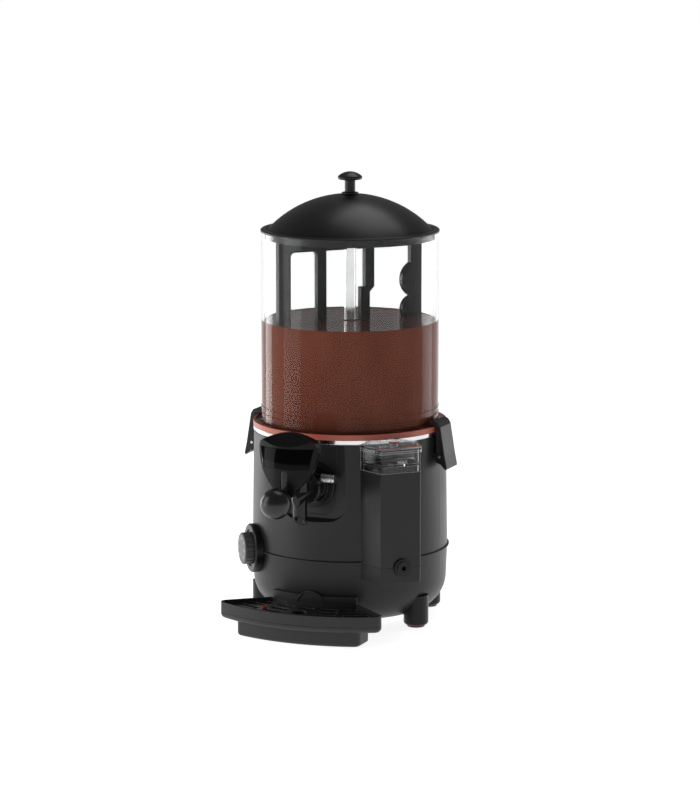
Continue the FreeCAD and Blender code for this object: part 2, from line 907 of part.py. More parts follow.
def lid():
    """Black domed lid with a thin brim and a skirt that drops inside the drum."""
    brim_bottom = drum_top + lid_seat_gap
    brim_top = brim_bottom + lid_brim_thickness
    centre = lid_apex - lid_dome_sphere
    inner_sphere = lid_dome_sphere - lid_wall
    skirt = drum_radius - drum_wall - lid_skirt_gap
    skirt_bottom = drum_top - lid_skirt_depth

    def dome_point(sphere, r):
        return radial(r, centre + math.sqrt(sphere ** 2 - r ** 2))

    return turned(
        radial(0, centre + inner_sphere),
        (dome_point(inner_sphere, lid_dome_radius * 0.55), dome_point(inner_sphere, lid_dome_radius - 3.5)),
        radial(skirt - lid_wall, brim_bottom),
        radial(skirt - lid_wall, skirt_bottom),
        radial(skirt, skirt_bottom),
        radial(skirt, brim_bottom),
        radial(lid_brim_radius, brim_bottom),
        radial(lid_brim_radius, brim_top - lid_edge),
        radial(lid_brim_radius - lid_edge, brim_top),
        radial(lid_dome_radius + 1.0, brim_top),
        dome_point(lid_dome_sphere, lid_dome_radius),
        (dome_point(lid_dome_sphere, lid_dome_radius * 0.55), radial(0, lid_apex)),
    ).cut(ring(0, lid_screw_hole, lid_apex - 4 * lid_wall, lid_apex + cut_past))


def lid_knob():
    """Mushroom knob with a stem and a small collar on the dome."""
    base = lid_apex + 0.2
    cap_bottom = total_height - lid_knob_cap
    cap_shoulder = radial(lid_knob_radius - 0.8, cap_bottom + 4.4)
    return turned(
        radial(0, base),
        radial(lid_knob_collar, base),
        radial(lid_knob_collar, base + 1.4),
        radial(lid_knob_stem, base + 2.6),
        radial(lid_knob_stem, cap_bottom - 1.5),
        radial(lid_knob_radius - 1.0, cap_bottom),
        (radial(lid_knob_radius, cap_bottom + 1.8), cap_shoulder),
        cap_arc(cap_shoulder, total_height),
    )


def lid_screw():
    """Screw that holds the knob from inside the dome."""
    head_top = lid_apex - lid_wall - seat_gap
    head = ring(0, lid_screw_head, head_top - lid_screw_radius, head_top)
    return head.fuse(ring(0, lid_screw_radius, head_top, lid_apex))


def tap_flange():
    """Round flange that seats the tap in the housing's pocket."""
    back = V(0, -pocket_floor - skin_gap, tap_height)
    front_y = -pocket_floor - tap_flange_thickness
    solid = rod(tap_flange_radius, back, V(0, front_y, tap_height))
    rim = [e for e in solid.Edges if e.CenterOfMass.y < front_y + skin_gap and e.Length > tap_flange_radius]
    solid = solid.makeFillet(tap_flange_edge, rim)
    return solid.cut(rod(pipe_radius + running_gap, back, V(0, -THROUGH, tap_height)))


def barrel_start():
    """Back face of the tap body, on the flange."""
    return pocket_floor + tap_flange_thickness + skin_gap


def spout_mouth():
    """Slanted tool that cuts the spout's mouth, lowest at its back."""
    face = face_of(
        V(-THROUGH, -valve_position - spout_radius, spout_lip),
        V(-THROUGH, -valve_position + spout_radius, spout_tip),
        V(-THROUGH, -valve_position + spout_radius, spout_tip - 40.0),
        V(-THROUGH, -valve_position - spout_radius, spout_tip - 40.0),
    )
    return face.extrude(V(2 * THROUGH, 0, 0))


def oval_wire(half_width, half_height, depth_y, height):
    """Upright oval of two side curves on a plane at y = -depth_y."""
    top = V(0, -depth_y, height + half_height)
    bottom = V(0, -depth_y, height - half_height)
    right = Part.Arc(top, V(half_width, -depth_y, height), bottom).toShape()
    left = Part.Arc(bottom, V(-half_width, -depth_y, height), top).toShape()
    return Part.Wire([right, left])


def tap_nose():
    """Front of the barrel, drawn in to a narrow upright nose with a leaf-shaped bevel."""
    tip_half_width = nose_half_width * nose_tip_share
    tip_half_height = nose_half_height * nose_tip_share
    start = oval_wire(barrel_radius, barrel_radius, tap_rim_position, tap_height)
    end = oval_wire(nose_half_width, nose_half_height, nose_end, nose_height)
    tip = oval_wire(tip_half_width, tip_half_height, nose_tip, nose_height)
    return Part.makeLoft([start, end], True, True).fuse(Part.makeLoft([end, tip], True, True))


def tap_body():
    """Tap moulding: collar, barrel with a back rim, upright valve column and a slant-cut spout."""
    start = barrel_start()
    collar = rod(tap_collar_radius, V(0, -start, tap_height), V(0, -start - tap_collar_length, tap_height))
    neck = rod(barrel_radius, V(0, -start, tap_height), V(0, -tap_rim_position, tap_height))
    rim_end = V(0, -tap_rim_position, tap_height)
    rim = rod(tap_rim_radius, V(0, -tap_rim_position + 3.0, tap_height), rim_end)
    nose = tap_nose()
    valve_centre = V(0, -valve_position, tap_height)
    column = Part.makeCylinder(valve_radius - 1.5, column_top - tap_height, valve_centre)
    spout = Part.makeCylinder(spout_radius, tap_height - spout_tip, V(0, -valve_position, spout_tip))
    boss = rod(nut_radius + 0.8, V(0, -nut_position, tap_height + nut_height_above_axis),
               V(nut_start - 4.0, -nut_position, tap_height + nut_height_above_axis))
    body = collar.fuse(neck).fuse(rim).fuse(nose).fuse(column).fuse(spout).fuse(boss)
    body = body.cut(spout_mouth())
    body = body.cut(Part.makeCylinder(spout_bore, THROUGH, V(0, -valve_position, 0)))
    body = body.cut(valve_bore())
    socket_end = V(0, -tap_rim_position, tap_height)
    body = body.cut(rod(pipe_radius + running_gap, V(0, 0, tap_height), socket_end))
    body = body.cut(rod(pipe_radius - pipe_wall, V(0, 0, tap_height), V(0, -valve_position, tap_height)))
    slot = block(-lever_thickness / 2 - 0.4, lever_thickness / 2 + 0.4,
                 -valve_position - valve_radius - 2.0, -valve_position + valve_radius + 2.0,
                 pivot_height - 20.0, pivot_height + 6.4)
    screw_hole = Part.makeCylinder(cover_screw_radius + running_gap, 10.0,
                                   V(0, -valve_position, column_top - 5.0))
    body = body.cut(screw_hole)
    body = body.cut(slot)
    ear = rod(6.0, V(-valve_radius + 3.0, -pivot_position, pivot_height),
              V(valve_radius - 3.0, -pivot_position, pivot_height))
    strut = block(-valve_radius + 3.0, valve_radius - 3.0, -valve_position, -pivot_position + 6.0,
                  tap_height + barrel_radius * HALF, pivot_height)
    ears = ear.fuse(strut)
    ears = ears.cut(block(-lever_thickness / 2 - 0.4, lever_thickness / 2 + 0.4, -THROUGH, 0,
                          tap_height + barrel_radius + 1.0, THROUGH))
    ears = ears.cut(valve_bore())
    ears = ears.cut(rod(pipe_radius + running_gap, V(0, 0, tap_height), socket_end))
    body = body.fuse(ears)
    return one_solid(body.cut(lever_pin_tool(pin_radius + running_gap, 30.0)))


def valve_bore():
    """Bore of the valve: wide round the plunger's head and spring, narrow above for its rod."""
    wide = Part.makeCylinder(column_bore, spring_top - valve_seat(), V(0, -valve_position, valve_seat()))
    return wide.fuse(Part.makeCylinder(plunger_rod + 0.6, pivot_height + 6.0 - valve_seat(),
                                       V(0, -valve_position, valve_seat())))


def valve_seat():
    """Height of the seat that the plunger closes."""
    return tap_height - 7.0


def lever_pin_tool(radius, half_length):
    """Rod on the lever's pivot."""
    return rod(radius, V(-half_length, -pivot_position, pivot_height),
               V(half_length, -pivot_position, pivot_height))


def lever_pin():
    """Steel pin through the tap's ears and the lever."""
    return lever_pin_tool(pin_radius, valve_radius - 2.0)


def nut_axis(x):
    """Point on the clamp nut's axis at a distance to the right of the middle."""
    return V(x, -nut_position, tap_height + nut_height_above_axis)


def clamp_stud():
    """Threaded stud that clamps the tap on the outlet pipe, with its washer."""
    start = nut_axis(washer_start - skin_gap)
    stud = rod(stud_radius, start, nut_axis(nut_start + nut_length - 1.0))
    washer_end = nut_axis(washer_start + stud_radius)
    return stud.fuse(rod(nut_radius + washer_overhang, nut_axis(washer_start), washer_end))


def clamp_nut():
    """Knurled thumb nut on the clamp stud."""
    end = nut_start + nut_length
    nut = rod(nut_radius, nut_axis(washer_start + stud_radius + seat_gap), nut_axis(end))
    nut = nut.cut(rod(stud_radius + running_gap, nut_axis(0), nut_axis(end - nut_face)))
    return nut.cut(nut_ring_groove())


def nut_ring_groove():
    """Shallow groove near the end of the knurled nut."""
    start = nut_axis(nut_start + nut_length - nut_groove_place)
    end = nut_axis(nut_start + nut_length - nut_groove_place + nut_groove)
    return rod(nut_radius + cut_past, start, end).cut(rod(nut_radius - nut_groove_depth, start, end))


def cover_outline(inset):
    """Shield outline in the XZ plane; the outline is symmetric about X = 0."""
    w = cover_half_width - inset
    apex = V(0, 0, cover_apex - inset)
    shoulder = V(w, 0, cover_shoulder)
    crown = V(w * 0.62, 0, cover_shoulder + (cover_apex - cover_shoulder) * 0.70 - inset * 0.8)
    flank = V(cover_waist - inset, 0, cover_waist_height)
    foot_side = V(cover_foot - inset, 0, cover_foot_height)
    bottom = V(0, 0, cover_bottom + inset)
    low_middle = V((cover_foot - inset) * 0.72, 0, cover_bottom + inset + 3.4)

    def left(point):
        return V(-point.x, 0, point.z)

    def between(a, b, bulge):
        return V((a.x + b.x) / 2 + math.copysign(bulge, a.x + b.x), 0, (a.z + b.z) / 2)

    corner = V(w * 0.93, 0, cover_shoulder + 5.5)
    return face_of(
        shoulder,
        (between(shoulder, flank, 1.6), flank),
        (between(flank, foot_side, 1.4), foot_side),
        (low_middle, bottom),
        (left(low_middle), left(foot_side)),
        (between(left(flank), left(foot_side), 1.4), left(flank)),
        (between(left(shoulder), left(flank), 1.6), left(shoulder)),
        left(corner),
        (left(crown), apex),
        (crown, corner),
    )


def bow_solid(front, back, bow):
    """Upright part-cylinder body whose bowed front is the cover's face."""
    front_cylinder = Part.makeCylinder(bow, THROUGH, V(0, -front + bow, 0))
    return front_cylinder.cut(block(-THROUGH, THROUGH, -back, THROUGH, 0, THROUGH))


def lean_tool(lean, inset):
    """Wedge that slopes the top of the cover back towards the drum."""
    start = cover_shoulder + 1.0
    face = face_of(
        V(-THROUGH, -cover_front + inset * 1.1, start),
        V(-THROUGH, -cover_front + lean + inset * 1.1, cover_apex + 1.0),
        V(-THROUGH, -cover_front - 30.0, cover_apex + 1.0),
        V(-THROUGH, -cover_front - 30.0, start),
    )
    return face.extrude(V(2 * THROUGH, 0, 0))


def cover_back():
    """Distance of the cover's open back from the drum's axis."""
    return cover_front - (cover_bow - math.sqrt(cover_bow ** 2 - cover_half_width ** 2)) - cover_depth


def cover_back_tool():
    """Tool behind the cover's slanted open back, which comes forward towards the cover's foot."""
    back = cover_back()
    face = face_of(
        V(-THROUGH, -back, cover_apex + 1.0),
        V(-THROUGH, -back, cover_shoulder),
        V(-THROUGH, -back - cover_depth + cover_foot_depth, cover_bottom - 1.0),
        V(-THROUGH, 0, cover_bottom - 1.0),
        V(-THROUGH, 0, cover_apex + 1.0),
    )
    return face.extrude(V(2 * THROUGH, 0, 0))


def cover_body(inset):
    """Outer or inner body of the tap cover."""
    outline = cover_outline(inset)
    outline.translate(V(0, -cover_front - 20.0, 0))
    back = cover_back()
    if inset:
        back -= 10.0
    body = outline.extrude(V(0, 90.0, 0)).common(bow_solid(cover_front - inset, back, cover_bow - inset))
    return body.cut(lean_tool(cover_top_lean, inset))


def tap_cover():
    """Shield-shaped cover over the valve and lever, with a slot for the lever's stem."""
    outer = cover_body(0)
    back = cover_back()
    shell = outer.cut(cover_body(cover_wall)).cut(cover_back_tool())
    half = lever_slot_width / 2
    slot = block(-half, half, -cover_front - 5.0, -cover_front + 20.0, slot_bottom + half, slot_top - half)
    for z in (slot_bottom + half, slot_top - half):
        slot = slot.fuse(rod(half, V(0, -cover_front - 5.0, z), V(0, -cover_front + 20.0, z)))
    shelf = block(-cover_shelf_half, cover_shelf_half, -back - 4.0, -valve_position + valve_radius - 4.0,
                  column_top + 0.1, column_top + 0.1 + cover_shelf)
    reach = block(-cover_shelf_half, cover_shelf_half, -cover_front, -back - 3.0,
                  column_top + 0.1, column_top + 0.1 + cover_shelf).common(outer)
    hole_start = V(0, -valve_position, column_top - cut_past)
    hole = Part.makeCylinder(cover_screw_radius + running_gap, 3 * cover_shelf, hole_start)
    return one_solid(shell.cut(slot).fuse(shelf).fuse(reach).cut(hole))


def cover_screw():
    """Screw that holds the cover's shelf on top of the valve column."""
    shelf_top = column_top + 0.1 + cover_shelf
    head = Part.makeCylinder(4.0, 2.6, V(0, -valve_position, shelf_top + 0.1))
    shank = Part.makeCylinder(cover_screw_radius, shelf_top - column_top + 3.0,
                              V(0, -valve_position, column_top - 2.8))
    return head.fuse(shank)


def label_window():
    """Glossy bare plate set on the cover's face."""
    outline = face_of(
        V(-label_half_width_top, 0, label_top),
        V(label_half_width_top, 0, label_top),
        V(label_half_width_bottom, 0, label_bottom),
        V(-label_half_width_bottom, 0, label_bottom),
    )
    outline.translate(V(0, -cover_front - cover_depth, 0))
    back = cover_front - cover_depth - cover_shelf
    skin = bow_solid(cover_front + label_thickness, back, cover_bow + label_thickness)
    skin = skin.cut(Part.makeCylinder(cover_bow + 0.02, THROUGH, V(0, -cover_front + cover_bow, 0)))
    return one_solid(outline.extrude(V(0, 4 * cover_depth, 0)).common(skin))


def stem_start():
    """Middle of the lever where its round stem starts, just behind the cover."""
    return V(0, -cover_front + 16.0, ball_height + 15.5)


def stem_end():
    """End of the stem, inside the ball knob."""
    return V(0, -ball_position + 6.0, ball_height + 2.6)


def tap_lever():
    """Lever from the pivot over the plunger and through the cover's slot, ending in the ball's stem."""
    half = lever_thickness / 2
    pivot = V(0, -pivot_position, pivot_height)
    along = stem_start().sub(pivot)
    arm = block(-half, half, -along.Length, 0, -lever_half_depth, lever_half_depth)
    arm = arm.fuse(rod(5.0, V(-half, 0, 0), V(half, 0, 0)))
    rod_slot = block(-plunger_rod - 0.5, plunger_rod + 0.5, -(valve_position - pivot_position) - 8.0,
                     -(valve_position - pivot_position) + 3.0, -THROUGH, THROUGH)
    arm = arm.cut(rod_slot)
    arm.rotate(ORIGIN, RIGHT, math.degrees(math.atan2(-along.z, -along.y)))
    arm.translate(pivot)
    lever = arm.fuse(rod(stem_radius, stem_start(), stem_end()))
    return one_solid(lever.cut(lever_pin_tool(pin_radius + running_gap, 30.0)))


def ball_knob():
    """Ball knob on the end of the lever's stem."""
    ball = Part.makeSphere(ball_radius, V(0, -ball_position, ball_height))
    direction = stem_end().sub(stem_start()).normalize()
    return ball.cut(rod(stem_radius + 0.02, stem_start(), stem_end().add(direction * 0.1)))


def lever_height_at_plunger():
    """Height of the lever's middle line over the plunger at rest."""
    along = stem_start().sub(V(0, -pivot_position, pivot_height))
    return pivot_height + along.z * (valve_position - pivot_position) / -along.y


def plunger():
    """Valve plunger: a head that closes the spout's bore, a rod and the cross pin that the lever lifts."""
    bottom = valve_seat() + 0.3 + 2.4
    pin_height = lever_height_at_plunger() + lever_half_depth + cross_pin_radius + 0.8
    head = Part.makeCylinder(plunger_radius - 0.2, 9.0, V(0, -valve_position, bottom))
    stem = Part.makeCylinder(plunger_rod, pin_height + 1.0 - bottom, V(0, -valve_position, bottom))
    pin = rod(cross_pin_radius, V(-lever_thickness / 2, -valve_position, pin_height),
              V(lever_thickness / 2, -valve_position, pin_height))
    return one_solid(head.fuse(stem).fuse(pin))


def plunger_seal():
    """Soft seal on the plunger's head."""
    return Part.makeCylinder(plunger_radius - 0.4, 2.3, V(0, -valve_position, valve_seat() + 0.3))


def valve_spring():
    """Return spring over the plunger's rod, as a plain sleeve of its outer size."""
    bottom = valve_seat() + 12.0
    top = spring_top - 0.2
    solid = ring(plunger_rod + 1.5, plunger_rod + 3.6, bottom, top)
    solid.translate(V(0, -valve_position, 0))
    return solid


def clip_profile():
    """Side outline of a right-hand clip in the XZ plane."""
    hook_under = flange_bottom + flange_thickness + clip_hook_gap
    inner = flange_radius + 1.6
    return (
        V(clip_hook_end, 0, hook_under),
        V(inner, 0, hook_under),
        V(inner + 0.4, 0, clip_pin_height + 6.0),
        V(clip_pin_distance - 5.0, 0, clip_pin_height - 7.0),
        V(clip_pin_distance + 1.0, 0, clip_pin_height - 9.5),
        V(clip_pin_distance + 7.2, 0, clip_pin_height - 16.0),
        V(clip_pin_distance + 10.2, 0, clip_pin_height - 17.6),
        V(clip_pin_distance + 10.4, 0, clip_pin_height - 13.5),
        V(clip_pin_distance + 7.6, 0, clip_pin_height),
        V(clip_pin_distance + 1.4, 0, clip_hook_top - 8.0),
        V(clip_pin_distance - 2.6, 0, clip_hook_top - 1.8),
        V(clip_pin_distance - 8.0, 0, clip_hook_top),
        V(clip_hook_end + 1.2, 0, clip_hook_top - 1.6),
    )


def right_clip():
    """Squeeze clip: hook over the drum's flange, hollow body between two cheeks and a finger tab."""
    points = clip_profile()
    wire = Part.makePolygon(list(points) + [points[0]])
    solid = Part.Face(wire).extrude(V(0, 2 * clip_half_width, 0))
    solid.translate(V(0, -clip_half_width, 0))
    outer_bends = [
        e for e in solid.Edges
        if abs(e.tangentAt(e.FirstParameter).y) > UPRIGHT
        and (e.CenterOfMass.x > clip_pin_distance + 9.0 or e.CenterOfMass.z > clip_hook_top - 3.0)
    ]
    solid = solid.makeFillet(clip_bend, outer_bends)
    sides = [
        e for e in solid.Edges
        if abs(e.tangentAt(e.FirstParameter).y) < TOUCH and e.CenterOfMass.x > clip_pin_distance
        and abs(abs(e.CenterOfMass.y) - clip_half_width) < TOUCH
    ]
    solid = solid.makeFillet(clip_edge, sides)
    inside = clip_half_width - clip_cheek
    hollow_face = face_of(
        V(clip_pin_distance - 20.0, -inside, clip_pin_height - 12.0),
        V(clip_pin_distance + 5.0, -inside, clip_pin_height - 12.0),
        V(clip_pin_distance + 7.6 - clip_plate, -inside, clip_pin_height),
        V(clip_pin_distance + 2.6 - clip_plate, -inside, clip_hook_top - 14.0),
        V(clip_pin_distance - 20.0, -inside, clip_hook_top - 14.0),
    )
    solid = solid.cut(hollow_face.extrude(V(0, 2 * inside, 0)))
    bore = Part.makeCylinder(clip_pin_radius + running_gap, 4 * clip_half_width,
                             V(clip_pin_distance, -2 * clip_half_width, clip_pin_height), BACK)
    return one_solid(solid.cut(bore))


def right_clip_pin():
    """Steel pin through a clip and its lug."""
    half = clip_half_width + clip_pin_proud
    start = V(clip_pin_distance, -half, clip_pin_height)
    return Part.makeCylinder(clip_pin_radius, 2 * half, start, BACK)


def filler_clearance(grow, bottom, top):
    """Body of the upper housing grown outwards, to cut what stands against it."""
    return upper_body(-grow, bottom, top)


def filler_box():
    """Clear box on top of the filler column, with its own curved back wall and a neck hole."""
    bottom = column_top_height + skin_gap
    outer = column_body(2 * skin_gap, column_back, bottom, filler_box_top)
    outer = outer.cut(filler_clearance(seat_gap, bottom - cut_past, filler_box_top + cut_past))
    inner = column_body(filler_wall, column_back, bottom - cut_past, filler_box_top + cut_past)
    back_wall = seat_gap + filler_wall
    inner = inner.cut(filler_clearance(back_wall, bottom - 2 * cut_past, filler_box_top + 2 * cut_past))
    floor_bottom = filler_floor_top - filler_wall
    inner = inner.cut(block(-THROUGH, THROUGH, -THROUGH, 0, floor_bottom, filler_floor_top))
    return one_solid(outer.cut(inner).cut(filler_hole(bottom, filler_box_top - 2.0)))


def filler_lid():
    """Clear lid of the filler box: an overlapping cap with a small knob."""
    bottom = filler_box_top - filler_lid_overlap
    outer = column_body(-filler_lid_overhang, column_back, bottom, filler_lid_top)
    inner = column_body(0.2 - 0.35, column_back, bottom - 1.0, filler_box_top + 0.2)
    clear = filler_clearance(0.5, bottom - 5.0, filler_lid_top - 1.2)
    cap = outer.cut(inner).cut(clear)
    cap = cap.cut(ring(0, flange_radius + 0.6, bottom - 5.0, filler_lid_top + 1.0))
    knob = turned(
        radial(0, filler_lid_top - 0.5),
        radial(filler_knob_radius * 0.62, filler_lid_top - 0.5),
        radial(filler_knob_radius * 0.55, filler_lid_top + filler_knob_height * 0.35),
        (radial(filler_knob_radius, filler_lid_top + filler_knob_height * 0.62),
         radial(filler_knob_radius * 0.72, filler_lid_top + filler_knob_height * 0.92)),
        radial(0, filler_lid_top + filler_knob_height),
    )
    knob.translate(V(filler_knob_offset, -filler_knob_position, 0))
    return one_solid(cap.fuse(at_angle(knob, column_angle)))


def water_reservoir():
    """Thin water container inside the filler column, held between both housings."""
    inset = housing_wall + seat_gap
    back = reservoir_back + 2 * seat_gap
    outer = column_body(inset, back, reservoir_bottom, reservoir_top)
    floor_top = reservoir_bottom + reservoir_wall
    inner = column_body(inset + reservoir_wall, back + reservoir_wall, floor_top, reservoir_top + cut_past)
    drain = drain_tool(drain_thread_radius + running_gap, column_front - drain_thread_length, column_front)
    return outer.cut(inner).cut(drain)


def drain_ring():
    """Ring round the drain, on the front of the column across the seam."""
    front = column_front + drain_ring_depth
    solid = drain_tool(drain_ring_radius, column_front + skin_gap, front)
    throat_end = column_front + cut_past
    throat = drain_tool(drain_thread_radius + drain_throat_gap, column_front - 3.2, throat_end)
    bore = drain_thread_radius + running_gap
    thread = drain_tool(bore, column_front - drain_thread_length, front + cut_past)
    return solid.fuse(throat).cut(thread)


def drain_plug():
    """Screw plug of the drain with a round socket."""
    front = column_front + drain_ring_depth
    head = drain_tool(drain_plug_radius, front + skin_gap, front + drain_plug_proud)
    thread_end = front + 2 * skin_gap
    shank = drain_tool(drain_thread_radius, thread_end - drain_thread_length, thread_end)
    socket = drain_tool(drain_socket_radius, front - drain_socket_depth, front + 5 * cut_past)
    return head.fuse(shank).cut(socket)


def on_dial(distance):
    """Point on the thermostat's axis, before it is swung to its angle."""
    return V(0, -distance, dial_height)


def bezel():
    """Round bezel behind the thermostat knob, fitted to the curve of the housing across the seam."""
    rim = rod(bezel_radius, on_dial(housing_seam_radius - 10.0), on_dial(bezel_front))
    edge = [e for e in rim.Edges if e.CenterOfMass.y < -bezel_front + skin_gap and e.Length > bezel_radius]
    rim = rim.makeChamfer(bezel_edge, edge)
    rim = rim.cut(rod(knob_radius + bezel_recess, on_dial(bezel_front - bezel_edge), on_dial(THROUGH)))
    rim = rim.cut(rod(knob_shaft_radius + seat_gap, on_dial(0), on_dial(THROUGH)))
    rim = at_angle(rim, dial_angle)
    wall = upper_body(-seat_gap, seam_height - 10 * cut_past, housing_top)
    wall = wall.fuse(lower_body(-seat_gap, seam_height))
    lip_outside = housing_seam_radius + seam_lip + seat_gap
    lip = ring(0, lip_outside, seam_height - seat_gap, seam_height + seam_lip_height + seat_gap)
    outside = rim.cut(wall).cut(lip)
    plug = dial_cutter(bezel_radius - bezel_lip - seat_gap, thermostat_front, bezel_front - 2.0)
    plug = plug.cut(dial_cutter(knob_shaft_radius + seat_gap, 0.0, THROUGH))
    return one_solid(outside.fuse(plug))


def thermostat_knob():
    """Turning knob with a grooved grip and a slightly sunk face."""
    back = bezel_front - bezel_edge + knob_gap
    knob = rod(knob_radius, on_dial(back), on_dial(knob_front))
    rim = [e for e in knob.Edges if e.CenterOfMass.y < -knob_front + skin_gap and e.Length > knob_radius]
    knob = knob.makeChamfer(knob_edge, rim)
    reach = knob_radius + knob_grip_radius * 0.45
    for index in range(knob_grip_count):
        angle = math.radians(FULL_TURN * index / knob_grip_count)
        x = reach * math.cos(angle)
        z = dial_height + reach * math.sin(angle)
        knob = knob.cut(rod(knob_grip_radius, V(x, -back, z), V(x, -knob_front + knob_grip_end, z)))
    shaft = rod(knob_shaft_radius, on_dial(housing_seam_radius - 18.0), on_dial(back))
    return at_angle(one_solid(knob.fuse(shaft)), dial_angle)


def thermostat_body():
    """Thermostat behind the bezel."""
    front = thermostat_front - skin_gap
    body = rod(thermostat_radius, on_dial(front - thermostat_depth), on_dial(front))
    bore_start = on_dial(front - thermostat_bore_depth)
    bore = rod(knob_shaft_radius + seat_gap, bore_start, on_dial(THROUGH))
    return at_angle(body.cut(bore), dial_angle)


def tray_plan(inset, bottom, top, back_inset):
    """Upright body over the tray's plan: bowed front, round corners, slanted sides and a curved back."""
    back_radius = tray_back_radius + back_inset
    back_half = tray_back_half - inset * 0.4
    corner = V(tray_corner_x - inset, -tray_corner_y, bottom)
    back = V(back_half, -math.sqrt(back_radius ** 2 - back_half ** 2), bottom)
    front = V(0, -tray_front + inset, bottom)
    corner_left = V(-corner.x, corner.y, bottom)
    back_left = V(-back.x, back.y, bottom)
    face = face_of(back, corner, (front, corner_left), back_left, (V(0, -back_radius, bottom), back))
    solid = face.extrude(V(0, 0, top - bottom))
    upright = [
        e for e in solid.Edges
        if abs(e.tangentAt(e.FirstParameter).z) > UPRIGHT and abs(e.CenterOfMass.x) > tray_back_half + 5.0
    ]
    return solid.makeFillet(max(tray_corner_radius - inset, 2.0), upright)


def edges_at(shape, height):
    """Lowest edges of a shape, whose bottom is at a height."""
    return [e for e in shape.Edges if e.CenterOfMass.z < height + TOUCH]


def drip_tray():
    """Open drip tray with a thin groove round its wall and a round lower edge."""
    outer = tray_plan(0, tray_floor_height, tray_rim_height, 0)
    outer = outer.makeFillet(tray_edge, edges_at(outer, tray_floor_height))
    floor_top = tray_floor_height + tray_wall
    inner = tray_plan(tray_wall, floor_top, tray_rim_height + cut_past, tray_wall)
    inner = inner.makeFillet(tray_edge - tray_wall, edges_at(inner, floor_top))
    groove_top = tray_groove_height + tray_groove_width
    groove = tray_plan(-cut_past, tray_groove_height, groove_top, -cut_past)
    core = tray_plan(tray_groove_depth, tray_groove_height - cut_past, groove_top + cut_past, -5 * cut_past)
    return one_solid(outer.cut(inner).cut(groove.cut(core)))


def arc_slot(radius, start, end):
    """Round-ended slot tool along an arc about the drum's axis, between two angles from the front."""
    half = grid_slot_width * HALF
    cap = math.degrees(half / radius)

    def spot(r, degrees):
        angle = math.radians(degrees)
        return V(r * math.sin(angle), -r * math.cos(angle), grid_top - 2 * grid_thickness)

    first = start + cap
    last = end - cap
    middle = (start + end) * HALF
    face = face_of(
        spot(radius - half, first),
        (spot(radius - half, middle), spot(radius - half, last)),
        (spot(radius, end), spot(radius + half, last)),
        (spot(radius + half, middle), spot(radius + half, first)),
        (spot(radius, start), spot(radius - half, first)),
    )
    return face.extrude(V(0, 0, 4 * grid_thickness))


def grid_slots():
    """Three curved rows of slots; only the back row has one in the middle, behind the round hole."""
    tools = [arc_slot(grid_rows[0][0], -grid_middle_slot, grid_middle_slot)]
    for radius, reach in grid_rows:
        for start, end in (grid_inner_slot, (grid_outer_slot_start, reach)):
            tools.append(arc_slot(radius, start, end))
            tools.append(arc_slot(radius, -end, -start))
    return Part.makeCompound(tools)


def drip_grid():
    """Slotted grid on the tray's ledge, with a round hole and a hole for the level float."""
    inset = tray_wall + grid_gap
    bottom = grid_top - grid_thickness
    plate = tray_plan(inset, bottom, grid_top, inset)
    plate = plate.cut(grid_slots())
    for radius, x, y in ((grid_hole_radius, 0, grid_hole_position), (float_hole_radius, float_x, float_y)):
        hole = Part.makeCylinder(radius, 3 * grid_thickness, V(x, -y, bottom - grid_thickness))
        plate = plate.cut(hole)
    return one_solid(plate)


def grid_legs():
    """Places of the short legs that carry the grid on the tray's floor."""
    return [(-46.7, -141.2), (46.7, -141.2), (-96.0, -162.5), (96.0, -162.5), (0.0, -182.5)]


def grid_with_legs():
    """Grid and its legs as one moulding."""
    grid = drip_grid()
    bottom = tray_floor_height + tray_wall + skin_gap
    length = grid_top - grid_thickness - bottom + leg_overlap
    for x, y in grid_legs():
        grid = grid.fuse(Part.makeCylinder(leg_radius, length, V(x, y, bottom)))
    return one_solid(grid)


def level_float():
    """Red float that rises through the grid when the tray is full."""
    bottom = tray_floor_height + tray_wall + seat_gap
    puck = Part.makeCylinder(float_puck, float_puck_height, V(float_x, -float_y, bottom))
    stem = Part.makeCylinder(float_radius, float_top - bottom, V(float_x, -float_y, bottom))
    solid = puck.fuse(stem)
    notch_bottom = float_top - float_notch_depth
    for x, y in ((float_radius, float_notch_half), (float_notch_half, float_radius)):
        notch = block(
            float_x - x, float_x + x, -float_y - y, -float_y + y, notch_bottom, float_top + cut_past,
        )
        solid = solid.cut(notch)
    return one_solid(solid)


def holder_arch():
    """Round-topped tab on the holder's wall, with a raised rim above the tray."""
    front = V(0, -THROUGH, holder_arch_height)
    start = V(0, -housing_bottom, holder_arch_height)
    tab = rod(holder_arch_radius, start, front).common(Part.makeCylinder(holder_block_radius, THROUGH))
    rim = rod(holder_arch_radius, start, front).cut(rod(holder_arch_radius - holder_arch_rim, start, front))
    rim = rim.common(Part.makeCylinder(holder_block_radius + holder_arch_proud, THROUGH))
    rim = rim.cut(ring(0, THROUGH, 0, tray_rim_height + 2 * seat_gap))
    arch = tab.fuse(rim).cut(ring(0, holder_inner_radius, 0, THROUGH))
    return arch.cut(ring(0, THROUGH, 0, holder_arch_height))


